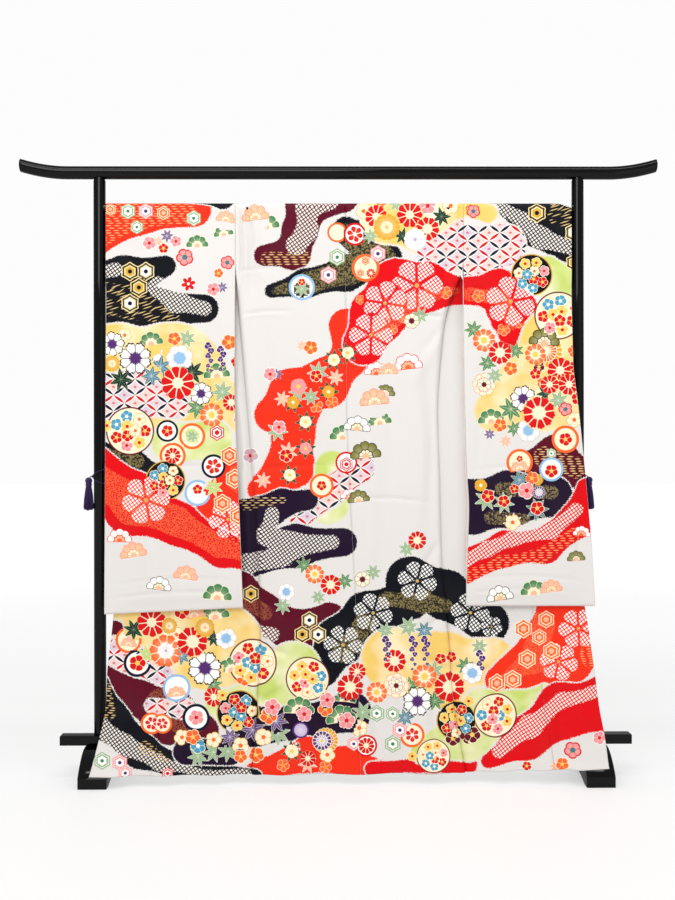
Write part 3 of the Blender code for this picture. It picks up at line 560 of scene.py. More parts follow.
# height, inner edge, outer edge, forward
sleeveEdges = {
    left: np.array([
        (1.620, -0.2919, -0.6555, 0.000), (1.450, -0.2919, -0.6555, 0.000), (1.300, -0.2935, -0.6555, 0.000),
        (1.060, -0.2930, -0.6555, -0.001), (0.760, -0.2810, -0.6555, -0.001),
        (0.460, -0.2690, -0.6555, 0.000)]),
    right: np.array([
        (1.620, 0.3504, 0.6555, 0.000), (1.450, 0.3504, 0.6555, 0.000), (1.300, 0.3510, 0.6555, -0.006),
        (1.170, 0.3515, 0.6555, -0.017), (1.060, 0.3530, 0.6670, -0.018), (0.860, 0.3580, 0.6870, -0.013),
        (0.760, 0.3630, 0.6960, -0.009), (0.630, 0.3580, 0.7070, -0.004), (0.460, 0.3530, 0.7150, 0.000)]),
}
sleeveBottoms = {left: (0.480, 0.463), right: (0.484, 0.483)}


def read(table, column, heights):
    xs, ys = table[::-1, 0], table[::-1, column]
    rises = np.diff(ys) / np.diff(xs)
    slopes = np.concatenate([[rises[0]], (rises[1:] + rises[:-1]) / 2, [rises[-1]]])
    slopes[np.concatenate([[False], rises[1:] * rises[:-1] <= 0, [False]])] = 0.0
    spot = np.clip(np.asarray(heights, float), xs[0], xs[-1])
    i = np.clip(np.searchsorted(xs, spot) - 1, 0, len(xs) - 2)
    step = xs[i + 1] - xs[i]
    t = (spot - xs[i]) / step
    start = (1 + 2 * t) * (1 - t) ** 2 * ys[i] + t * (1 - t) ** 2 * step * slopes[i]
    return start + t * t * (3 - 2 * t) * ys[i + 1] + t * t * (t - 1) * step * slopes[i + 1]


def ease(value, start, end):
    t = np.clip((np.asarray(value, float) - start) / (end - start), 0.0, 1.0)
    return t * t * (3 - 2 * t)


def sideSeam(side, h):
    return read(seams, 1 if side == left else 3, h)


def centreSeam(h):
    return read(seams, 2, h)


def foldMiddle(h):
    wider = 0.014 * ease(h, 1.20, 1.36) * (1 - ease(h, 1.38, 1.43))
    return fullWidth - 0.538 * (h - 0.64) + wider


def spreadStretch(side, h):
    spread = np.abs(read(edges, 1 if side == left else 2, h) - sideSeam(side, h)) / fullWidth
    return spread + (1.0 - spread) * ease(h, 0.85, 1.25)


def hemForward(side, along, h):
    low = np.clip((0.38 - h) / 0.35, 0.0, 1.0)
    return -(0.053 if side == left else 0.040) * low**1.5 * np.clip(along / fullWidth, 0.0, 1.0) ** 0.8


def frontWave(along, h):
    reach = (0.001 + 0.006 * np.clip((0.50 - h) / 0.47, 0.0, 1.0)) * (1 - ease(h, 1.40, 1.55))
    return reach * np.sin(2 * math.pi * along / 0.135) * ease(along, 0.0, 0.06)


def backWave(share, h):
    reach = (0.0008 + 0.0075 * np.clip((0.95 - h) / 0.92, 0.0, 1.0) ** 1.5) * (1 - ease(h, 1.40, 1.55))
    return reach * np.cos(2 * math.pi * 1.5 * share) * ease(share, 0.0, 0.15)


def footSurface(h):
    s = stand
    rise = np.clip((h - s["footToe"]) / (s["footHeight"] - s["footToe"]), 0.0, 1.0)
    share = np.arcsin(rise ** (1 / 0.85)) / (math.pi / 2)
    return s["footHalf"] - (s["footHalf"] - s["footSaddle"]) * share


def overFoot(x, h):
    across = ease(np.abs(x - stand["baseShift"]), 0.590, stand["footX"] - stand["footWidth"] / 2 - 0.004)
    return across * (1 - ease(h, 0.10, 0.17))


def settled(x, h):
    hem = np.interp(x, [-0.682, -0.24, 0.05, 0.347, 0.736], [0.034, 0.0265, 0.028, 0.030, 0.048])
    low = np.clip((0.42 - h) / (0.42 - cut["hem"]), 0.0, 1.0)
    return h + (hem - cut["hem"]) * low**2


def frontPoints(side, along, h):
    # points, and the same cloth laid flat, of a front `along` metres from the side seam
    along, h = np.broadcast_arrays(np.asarray(along, float), np.asarray(h, float))
    seam, spread, turned = sideSeam(side, h), read(drapes, 2, h), read(drapes, 3, h)
    radius = np.maximum((turned - spread) / 2, 0.0008)
    stretch = spreadStretch(side, h)
    turn = math.pi * ease(h, cut["turnLow"], cut["turnHigh"])
    turnStart = foldMiddle(h) - turn * radius / 2
    depth = spread + hemForward(side, along, h)
    flat = (along <= turnStart) | (turn == 0)
    gone = np.clip(-turnStart / radius, 0.0, turn)
    angle = np.minimum((along - turnStart) / radius, turn)
    rest = np.minimum(np.maximum(along - turnStart - turn * radius, 0.0), np.maximum(along, 0.0))
    curled = stretch * np.maximum(turnStart, 0.0) + radius * (np.sin(angle) - np.sin(gone))
    curled = curled + stretch * rest * np.cos(angle)
    reach = np.where(flat, stretch * along, curled)
    depth = depth + np.where(flat, 0.0, radius * (1 - np.cos(angle)) + rest * np.sin(angle))
    x = seam + side * reach
    place = settled(x, h)
    y = depth + frontWave(along, h) * (1 - 0.9 * overFoot(x, place))
    limit = -footSurface(place) - 0.0022
    y = y + (np.minimum(y, limit) - y) * overFoot(x, place)
    inFold = np.clip(angle / np.maximum(turn, 1e-6), 0.0, 1.0)
    facing = np.where(flat, -1.0, -np.cos(math.pi * inFold))
    opened = np.stack([seam + side * stretch * along, spread + hemForward(side, along, h), place], -1)
    return np.stack([x, y, place], -1), opened, facing


def frontEdge(side, h):
    neck = np.abs(sideSeam(side, h) - centreSeam(h)) - cut["neckHalf"]
    return cut["frontWidth"] + (neck - cut["frontWidth"]) * ease(h, cut["overlapTip"], cut["rodHeight"])


def overlapEdge(h):
    slant = (h - cut["collarEnd"]) / (cut["overlapTip"] - cut["collarEnd"])
    return fullWidth + (0.006 - cut["overlapWidth"]) * np.clip(slant, 0.0, 1.0)


def crowded(count, width, middle, seamEnds=True):
    # distances across a panel, closer round its fold and beside its seams
    fine = np.linspace(0.0, width, 900)
    weight = 1 + 5.0 * np.exp(-(((fine - middle) / 0.012) ** 2))
    if seamEnds:
        weight += 1.6 * np.exp(-((fine / 0.006) ** 2)) + 1.6 * np.exp(-(((width - fine) / 0.006) ** 2))
    total = np.concatenate([[0.0], np.cumsum((weight[1:] + weight[:-1]) / 2)])
    return np.interp(np.linspace(0.0, total[-1], count + 1), total, fine)


def photoPlane(points):
    # where the camera's line through a point meets the posts' plane: the pattern is laid out there
    eye = np.array([view["shiftAcross"], -view["away"], view["height"]])
    scale = view["away"] / (view["away"] + points[..., 1])
    return eye[0] + (points[..., 0] - eye[0]) * scale, eye[2] + (points[..., 2] - eye[2]) * scale


def printPlace(points, opened, h):
    # the skirt's fronts are printed as laid flat, the turned-in fronts above it where they hang
    folded = ease(h, 0.64, 0.79)
    return photoPlane(opened * (1 - folded) + points * folded)


# creases: x and z of both ends, half width, depth; minus stands out towards the viewer
creases = {
    "bodyLeft": [
        (-0.288, 1.62, -0.284, 1.36, 0.0055, 0.0048), (-0.275, 1.62, -0.268, 1.38, 0.0060, -0.0036),
        (-0.262, 1.62, -0.250, 1.34, 0.0060, 0.0042), (-0.246, 1.62, -0.226, 1.40, 0.0080, -0.0028),
        (-0.10, 1.58, -0.07, 1.30, 0.020, 0.0018),
        (-0.29, 1.425, -0.17, 1.432, 0.004, 0.0016), (-0.285, 1.300, -0.14, 1.312, 0.004, 0.0022),
        (-0.285, 1.294, -0.15, 1.304, 0.006, -0.0012), (-0.25, 0.862, 0.01, 0.874, 0.0045, 0.0018),
        (-0.20, 1.25, -0.23, 0.90, 0.018, 0.0022), (-0.07, 1.20, -0.10, 0.74, 0.026, -0.0026),
        (-0.02, 1.02, -0.03, 0.60, 0.016, 0.0020), (-0.235, 0.72, -0.15, 0.60, 0.010, 0.0026),
        (-0.225, 0.50, -0.15, 0.44, 0.012, 0.0036), (-0.222, 0.36, -0.14, 0.34, 0.010, 0.0040),
        (-0.228, 0.20, -0.16, 0.25, 0.010, 0.0040), (-0.06, 0.42, -0.09, 0.04, 0.022, -0.0040),
        (0.02, 0.30, 0.01, 0.03, 0.014, 0.0040), (-0.15, 0.24, -0.17, 0.03, 0.014, 0.0034),
    ],
    "bodyRight": [
        (0.341, 1.62, 0.338, 1.40, 0.0055, 0.0042), (0.326, 1.62, 0.318, 1.42, 0.0070, -0.0032),
        (0.308, 1.62, 0.296, 1.40, 0.0080, 0.0030),
        (0.345, 1.36, 0.24, 1.20, 0.012, 0.0030), (0.31, 1.30, 0.20, 1.10, 0.018, -0.0026),
        (0.19, 1.302, 0.31, 1.296, 0.0045, 0.0024), (0.20, 1.309, 0.30, 1.304, 0.006, -0.0012),
        (0.03, 0.782, 0.27, 0.770, 0.0045, 0.0020), (0.24, 1.20, 0.255, 0.74, 0.014, 0.0030),
        (0.205, 1.18, 0.215, 0.62, 0.020, -0.0030), (0.12, 1.28, 0.135, 0.70, 0.026, 0.0024),
        (0.07, 1.02, 0.09, 0.55, 0.018, -0.0020), (0.28, 0.66, 0.21, 0.56, 0.011, 0.0034),
        (0.296, 0.46, 0.22, 0.40, 0.012, 0.0040), (0.305, 0.30, 0.24, 0.34, 0.010, 0.0040),
        (0.315, 0.17, 0.25, 0.22, 0.011, 0.0042), (0.16, 0.40, 0.17, 0.04, 0.022, -0.0040),
        (0.09, 0.28, 0.10, 0.03, 0.014, 0.0036), (0.25, 0.26, 0.27, 0.03, 0.015, 0.0036),
    ],
    "front": [
        (-0.290, 1.34, -0.284, 1.04, 0.008, -0.0050), (-0.284, 1.08, -0.268, 0.80, 0.010, -0.0050),
        (-0.270, 0.84, -0.258, 0.54, 0.011, -0.0050),
        (0.35, 0.44, 0.37, 0.05, 0.018, -0.0034), (0.42, 0.46, 0.45, 0.05, 0.014, 0.0032),
        (0.50, 0.44, 0.53, 0.06, 0.020, -0.0032), (0.58, 0.42, 0.61, 0.06, 0.014, 0.0026),
        (0.66, 0.52, 0.66, 0.12, 0.016, -0.0020), (0.34, 0.31, 0.46, 0.29, 0.005, 0.0018),
        (0.54, 0.21, 0.68, 0.23, 0.005, 0.0016),
        (-0.27, 0.42, -0.29, 0.05, 0.018, 0.0034), (-0.34, 0.45, -0.37, 0.05, 0.018, -0.0032),
        (-0.43, 0.46, -0.46, 0.06, 0.014, 0.0030), (-0.52, 0.43, -0.55, 0.06, 0.020, -0.0032),
        (-0.60, 0.44, -0.61, 0.16, 0.012, 0.0020), (-0.60, 0.30, -0.42, 0.27, 0.005, 0.0018),
    ],
    "sleeveLeft": [
        (-0.645, 1.20, -0.31, 1.212, 0.0045, 0.0014), (-0.64, 0.86, -0.29, 0.868, 0.0045, 0.0014),
        (-0.64, 0.540, -0.29, 0.552, 0.004, 0.0012), (-0.65, 0.500, -0.275, 0.514, 0.0035, 0.0018),
        (-0.60, 1.58, -0.57, 1.05, 0.020, 0.0018),
        (-0.50, 1.45, -0.48, 0.62, 0.024, -0.0018), (-0.38, 1.56, -0.37, 0.90, 0.018, 0.0016),
        (-0.33, 1.30, -0.31, 0.60, 0.012, -0.0014), (-0.44, 0.80, -0.43, 0.49, 0.018, 0.0014),
        (-0.56, 0.95, -0.55, 0.52, 0.016, -0.0014),
    ],
    "sleeveRight": [
        (0.36, 1.205, 0.645, 1.212, 0.0045, 0.0014), (0.37, 0.862, 0.67, 0.868, 0.0045, 0.0014),
        (0.37, 0.556, 0.70, 0.548, 0.004, 0.0012), (0.36, 0.516, 0.70, 0.514, 0.0035, 0.0018),
        (0.60, 1.56, 0.61, 1.12, 0.018, 0.0018),
        (0.664, 1.02, 0.672, 0.60, 0.009, 0.0042), (0.640, 1.12, 0.655, 0.56, 0.012, -0.0020),
        (0.45, 1.50, 0.46, 0.70, 0.024, -0.0018), (0.39, 1.56, 0.38, 0.80, 0.014, 0.0016),
        (0.53, 1.10, 0.55, 0.52, 0.020, 0.0016),
    ],
}


def creaseDepth(name, x, z):
    depth = np.zeros_like(x)
    for x0, z0, x1, z1, width, deep in creases[name]:
        dx, dz = x1 - x0, z1 - z0
        length = math.hypot(dx, dz)
        along = ((x - x0) * dx + (z - z0) * dz) / length
        bow = 0.035 * length * np.sin(math.pi * np.clip(along / length, 0.0, 1.0))
        off = ((z - z0) * dx - (x - x0) * dz) / length - bow
        ends = ease(along, -0.15 * length, 0.25 * length) * (1 - ease(along, 0.70 * length, 1.10 * length))
        depth += 1.6 * deep * ends * np.exp(-((off / width) ** 2))
    return depth


# the print: fields of colour and motifs
palette = {
    "white": (250, 248, 244), "cream": (250, 236, 200), "red": (216, 20, 24), "orange": (248, 104, 44),
    "peach": (247, 184, 150), "pink": (240, 150, 152), "yellow": (242, 204, 96), "gold": (214, 168, 70),
    "black": (16, 14, 18), "navy": (15, 19, 44), "blue": (72, 158, 192), "paleBlue": (146, 188, 224),
    "purple": (84, 44, 110), "lilac": (192, 172, 210), "maroon": (104, 20, 38), "sage": (150, 178, 134),
    "green": (58, 128, 78), "dark": (20, 46, 40), "olive": (122, 120, 54), "teal": (66, 122, 136),
    "grey": (196, 168, 176), "mustard": (226, 164, 50), "lime": (200, 214, 110),
    "flax": (246, 222, 160),
}
# petals, lobe, roundness, centre, gap, outline, cut-off, dotted and inner ring of the commonest shapes
leafShape = (7, 0.48, 1.1, 0, 0, 0.045, 2, 0, 0)
plumShape = (5, 0.24, 0.5, 0.26, 0.020, 0.090, 2, 0, 0)
finePlumShape = (5, 0.24, 0.5, 0.26, 0.020, 0.080, 2, 0, 0)
smallPlumShape = (5, 0.24, 0.5, 0.24, 0.020, 0.080, 2, 0, 0)
camelliaShape = (5, 0.12, 0.6, 0.26, 0.014, 0.030, 2, 0, 0)
broadRing = (0, 0, 1, 0, 0, 0.20, 2, 0, 0)
thinRing = (0, 0, 1, 0, 0, 0.18, 2, 0, 0)
# a shape, then the colours of petal, accent, centre and line
styles = {
    "redMum": (10, 0.20, 0.6, 0.32, 0.030, 0.012, 2, 0, 0, "red", "red", "cream", "cream"),
    "redMumWide": (10, 0.20, 0.6, 0.38, 0.030, 0.012, 2, 0, 0, "red", "red", "cream", "cream"),
    "orangeMumWide": (10, 0.20, 0.6, 0.26, 0.028, 0.012, 2, 0, 0.50, "orange", "cream", "yellow", "cream"),
    "yellowMum": (14, 0.12, 0.6, 0.14, 0.012, 0.010, 2, 0, 0.46, "mustard", "cream", "peach", "yellow"),
    "whiteMum": (14, 0.12, 0.6, 0.16, 0.012, 0.020, 2, 0, 0.50, "white", "white", "lilac", "grey"),
    "goldMum": (20, 0.08, 0.7, 0.20, 0.022, 0.040, 2, 0, 0.66, "mustard", "orange", "cream", "cream"),
    "violetMum": (14, 0.12, 0.6, 0.18, 0.030, 0.050, 2, 0, 0.58, "purple", "lilac", "yellow", "white"),
    "peony": (8, 0.24, 0.6, 0.34, 0.022, 0.085, 2, 0, 0, "white", "white", "purple", "black"),
    "bluePeony": (7, 0.18, 0.6, 0.42, 0.016, 0.040, 2, 0, 0, "white", "paleBlue", "paleBlue", "grey"),
    "palePeony": (8, 0.16, 0.6, 0.26, 0.016, 0.036, 2, 0, 0.64, "cream", "white", "maroon", "orange"),
    "darkPeony": (7, 0.16, 0.6, 0.34, 0.022, 0.050, 2, 0, 0, "cream", "white", "maroon", "maroon"),
    "redPlum": (*plumShape, "red", "red", "yellow", "cream"),
    "bluePlum": (*plumShape, "blue", "blue", "white", "cream"),
    "creamPlum": (*smallPlumShape, "cream", "cream", "orange", "gold"),
    "yellowPlum": (*finePlumShape, "yellow", "yellow", "red", "cream"),
    "orangePlum": (5, 0.24, 0.5, 0.24, 0.020, 0.090, 2, 0, 0, "orange", "orange", "yellow", "cream"),
    "pinkPlum": (*smallPlumShape, "pink", "pink", "red", "white"),
    "greyPlum": (*finePlumShape, "grey", "pink", "red", "white"),
    "maroonPlum": (*finePlumShape, "maroon", "maroon", "yellow", "cream"),
    "goldPlum": (5, 0.26, 0.5, 0.22, 0.050, 0.100, 2, 0, 0, "orange", "orange", "mustard", "peach"),
    "linedPlum": (5, 0.24, 0.5, 0.30, 0.030, 0.160, 2, 0, 0, "pink", "peach", "teal", "red"),
    "dotFlower": (6, 0.60, 0.8, 0.20, 0.060, 0.010, 2, 0, 0, "red", "red", "white", "red"),
    "camellia": (*camelliaShape, "cream", "cream", "yellow", "peach"),
    "mustardCamellia": (*camelliaShape, "mustard", "mustard", "cream", "yellow"),
    "pinkCamellia": (*camelliaShape, "pink", "pink", "yellow", "peach"),
    "darkLeaves": (*leafShape, "dark", "dark", "dark", "sage"),
    "greenLeaves": (*leafShape, "green", "sage", "green", "cream"),
    "sageLeaves": (*leafShape, "sage", "sage", "sage", "white"),
    "tealLeaves": (*leafShape, "teal", "paleBlue", "teal", "cream"),
    "violetLeaves": (*leafShape, "purple", "lilac", "purple", "white"),
    "limeLeaves": (*leafShape, "lime", "sage", "lime", "white"),
    "peachLeaves": (*leafShape, "peach", "peach", "peach", "white"),
    "violetDrop": (3, 0.26, 0.6, 0.16, 0.020, 0.100, 2, 0, 0, "purple", "purple", "lilac", "white"),
    "greenPine": (9, 0.16, 0.6, 0.22, 0.012, 0.035, 0.10, 0, 0.46, "green", "cream", "peach", "cream"),
    "olivePine": (9, 0.16, 0.6, 0.22, 0.012, 0.050, 0.10, 0, 0.46, "olive", "cream", "peach", "black"),
    "peachPine": (9, 0.16, 0.6, 0.20, 0.012, 0.030, 0.10, 0, 0.46, "peach", "cream", "peach", "orange"),
    "linePine": (9, 0.16, 0.6, 0.20, 0.010, 0.050, 0.10, 0, 0.46, "white", "cream", "peach", "black"),
    "linePineRed": (9, 0.16, 0.6, 0.20, 0.010, 0.060, 0.10, 0, 0.46, "white", "peach", "orange", "red"),
    "orangeRing": (*broadRing, "cream", "cream", "cream", "orange"),
    "navyRing": (*broadRing, "white", "white", "white", "navy"),
    "redRing": (*thinRing, "white", "white", "white", "red"),
    "blueRing": (*thinRing, "white", "white", "white", "paleBlue"),
    "purpleRing": (*broadRing, "lilac", "white", "white", "purple"),
    "redCrest": (6, 0.40, 0.7, 0.22, 0.040, 0.060, 2, 0, 0, "red", "orange", "white", "white"),
    "goldKikko": (6, 0.134, 4.3, 0.22, -0.02, 0.11, 2, 0, 0.60, "black", "gold", "black", "flax"),
    "silverKikko": (6, 0.134, 4.3, 0.22, -0.02, 0.11, 2, 0, 0.60, "black", "white", "navy", "flax"),
    "greenKikko": (6, 0.134, 4.3, 0.20, -0.02, 0.15, 2, 0, 0.66, "white", "white", "green", "sage"),
    "pinkKikko": (6, 0.134, 4.3, 0.22, -0.02, 0.15, 2, 0, 0.66, "white", "white", "purple", "pink"),
    "orangeKikko": (6, 0.134, 4.3, 0.30, -0.02, 0.10, 2, 0, 0.64, "orange", "orange", "peach", "cream"),
    "redKikko": (6, 0.134, 4.3, 0.30, -0.02, 0.14, 2, 0, 0.64, "white", "white", "red", "red"),
    "darkRoundel": (0, 0, 1, 0, 0, 0.05, 2, 0, 0, "black", "navy", "black", "gold"),
    "creamRoundel": (0, 0, 1, 0, 0, 0.06, 2, 0, 0, "cream", "cream", "cream", "maroon"),
    "kanokoFlower": (6, 0.34, 0.50, 0.08, 0, 0, 2, 1, 0, "white", "white", "gold", "white"),
}


# fields of colour as strokes: each lobe is x, z and radius in centimetres
clouds = [
    ("orange", (-69, 155, 8), (-56, 160, 7), (-41, 160, 5)),
    ("dash", (-68, 154, 5), (-58, 159, 5), (-43, 159, 3)),
    ("navy", (-41, 165, 3), (-33, 164, 4)),
    ("navy", (-70, 137, 9), (-60, 140, 7), (-49, 144, 3)),
    ("navy", (-68, 134, 8), (-52, 132, 6), (-38, 132, 4)),
    ("scroll", (-68, 135, 5), (-58, 134, 5), (-47, 129, 2)),
    ("kanoko", (-51, 138, 3), (-46, 134, 3), (-38, 132, 2)),
    ("kanoko", (-68, 142, 2), (-63, 143, 2)),
    ("yellow", (-62, 113, 15), (-48, 111, 17), (-38, 104, 11)),
    ("lime", (-47, 94, 6), (-36, 95, 6)),
    ("shippo", (-68, 107, 7), (-57, 108, 7), (-46, 105, 4)),
    ("navy", (-68, 91, 4), (-58, 88, 4), (-50, 83, 4)),
    ("gold", (-67, 91, 2), (-57, 89, 2)),
    ("orange", (-27, 86, 7), (-33, 76, 7), (-27, 70, 7)),
    ("scroll", (-28, 84, 4)),
    ("red", (-70, 87, 7), (-58, 77, 9), (-45, 71, 6), (-33, 64, 5), (-23, 61, 4)),
    ("scroll", (-68, 84, 4), (-58, 77, 6), (-46, 72, 4), (-34, 65, 3), (-25, 62, 2)),
    ("maroon", (1, 164, 5), (-9, 161, 6), (-11, 154, 5), (-13, 148, 5), (-21, 147, 3)),
    ("kanoko", (-2, 162, 2), (-9, 160, 3), (-9, 154, 3), (-12, 150, 3)),
    ("dash", (-20, 146, 2), (-8, 146, 2)),
    ("navy", (-19, 137, 2), (-10, 139, 4), (2, 142, 5), (13, 146, 5)),
    ("navy", (2, 154, 4), (9, 150, 7)),
    ("gold", (-18, 137, 1), (-9, 139, 3), (3, 143, 4), (12, 146, 4)),
    ("gold", (2, 153, 3), (8, 150, 6)),
    ("yellow", (14, 158, 8), (25, 156, 9), (35, 160, 6)),
    ("shippo", (27, 147, 5), (35, 149, 8)),
    ("orange", (2, 127, 5), (3, 118, 5), (-4, 111, 7), (-13, 108, 7), (-19, 102, 5)),
    ("orange", (-10, 106, 6), (-13, 96, 6), (-14, 88, 7), (-23, 81, 3)),
    ("red", (7, 122, 6), (11, 130, 8), (17, 137, 9), (25, 138, 7), (34, 137, 4)),
    ("scroll", (12, 126, 3), (17, 131, 3), (26, 136, 2), (33, 137, 1)),
    ("lime", (-2, 87, 5), (-3, 77, 6)),
    ("shippo", (6, 87, 4), (-3, 80, 4), (-11, 73, 3)),
    ("purple", (-27, 71, 8), (-16, 77, 4), (-9, 78, 3)),
    ("purple", (-25, 63, 7), (-12, 65, 6), (1, 66, 4)),
    ("dash", (-26, 77, 2), (-16, 78, 1)),
    ("dash", (-27, 69, 4)),
    ("kanoko", (-19, 74, 2), (-20, 68, 3), (-14, 65, 4), (-2, 66, 2)),
    ("kanoko", (-26, 60, 3), (-16, 62, 3)),
    ("maroon", (-28, 53, 5), (-22, 46, 6), (-13, 41, 6), (-3, 43, 6)),
    ("scroll", (-26, 50, 3), (-21, 46, 2)),
    ("kanoko", (-27, 42, 2), (-19, 40, 2)),
    ("navy", (20, 55, 7), (30, 51, 7), (42, 43, 6)),
    ("navy", (20, 50, 6), (8, 45, 7), (0, 38, 7), (-5, 30, 5)),
    ("gold", (13, 50, 2), (24, 49, 3), (30, 48, 2)),
    ("gold", (7, 43, 3), (1, 35, 3)),
    ("yellow", (15, 33, 9), (29, 30, 11), (43, 32, 7)),
    ("lime", (-13, 30, 8), (-18, 24, 6)),
    ("purple", (-24, 14, 6), (-12, 15, 5), (3, 18, 6)),
    ("orange", (-24, 1, 3), (-9, 6, 5), (2, 4, 4), (20, 0, 2), (34, 1, 3)),
    ("kanoko", (-13, 8, 2)),
    ("red", (9, 2, 2), (22, 3, 2), (36, 3, 3)),
    ("lime", (24, 7, 4), (36, 12, 8), (46, 18, 5), (58, 24, 2)),
    ("yellow", (-64, 41, 9), (-48, 37, 13), (-34, 36, 13)),
    ("lime", (-33, 20, 5), (-28, 21, 5)),
    ("maroon", (-71, 42, 3), (-63, 42, 2)),
    ("shippo", (-69, 35, 4), (-61, 34, 5), (-50, 29, 3)),
    ("maroon", (-67, 30, 2), (-56, 22, 5), (-48, 17, 8), (-39, 13, 5)),
    ("scroll", (-50, 20, 5), (-43, 16, 5)),
    ("shippo", (-53, 20, 2), (-44, 19, 3)),
    ("navy", (-69, 26, 4), (-65, 16, 6), (-56, 7, 5), (-43, 2, 3), (-24, 0, 2)),
    ("dash", (-67, 24, 3), (-65, 18, 2)),
    ("dash", (-55, 8, 2), (-49, 5, 1)),
    ("kanoko", (-69, 15, 3), (-61, 9, 3), (-51, 4, 2), (-40, 1, 1), (-26, 1, 1)),
    ("purple", (-43, 7, 4), (-31, 7, 4)),
    ("orange", (67, 43, 14), (62, 36, 11), (45, 27, 4)),
    ("scroll", (57, 42, 4), (55, 33, 4), (46, 27, 1)),
    ("dash", (72, 34, 4)),
    ("lime", (40, 20, 5), (50, 20, 4), (58, 24, 2)),
    ("lime", (41, 12, 5), (40, 7, 3)),
    ("red", (74, 20, 8), (63, 18, 8), (52, 10, 6), (42, 4, 2)),
    ("kanoko", (74, 24, 2), (63, 21, 2), (54, 14, 3), (45, 7, 2)),
    ("navy", (40, 165, 3), (52, 161, 6), (64, 153, 8)),
    ("navy", (53, 153, 3), (67, 149, 5)),
    ("kanoko", (45, 161, 2), (52, 157, 2), (57, 152, 3), (66, 149, 2)),
    ("scroll", (63, 159, 4)),
    ("yellow", (36, 161, 3), (42, 159, 3)),
    ("shippo", (38, 148, 8), (47, 150, 6)),
    ("lime", (59, 141, 6), (66, 139, 5)),
    ("red", (36, 137, 4), (45, 137, 6), (49, 131, 7), (50, 125, 5)),
    ("scroll", (37, 136, 2), (46, 135, 2), (49, 128, 2)),
    ("yellow", (62, 122, 11), (57, 110, 13), (44, 103, 6)),
    ("maroon", (52, 88, 3), (61, 90, 6), (69, 83, 6)),
    ("dash", (58, 90, 3), (67, 87, 3)),
    ("purple", (38, 76, 8), (48, 78, 8), (60, 79, 6)),
    ("gold", (46, 81, 2), (60, 80, 2)),
    ("gold", (43, 73, 2), (52, 72, 2)),
    ("red", (70, 81, 3), (67, 72, 5), (58, 65, 5), (47, 64, 5), (35, 59, 5)),
    ("kanoko", (67, 75, 2), (60, 69, 2), (49, 67, 2), (42, 64, 2), (36, 61, 2)),
    ("dash", (66, 68, 2), (57, 62, 2), (46, 60, 2), (36, 56, 2)),
]
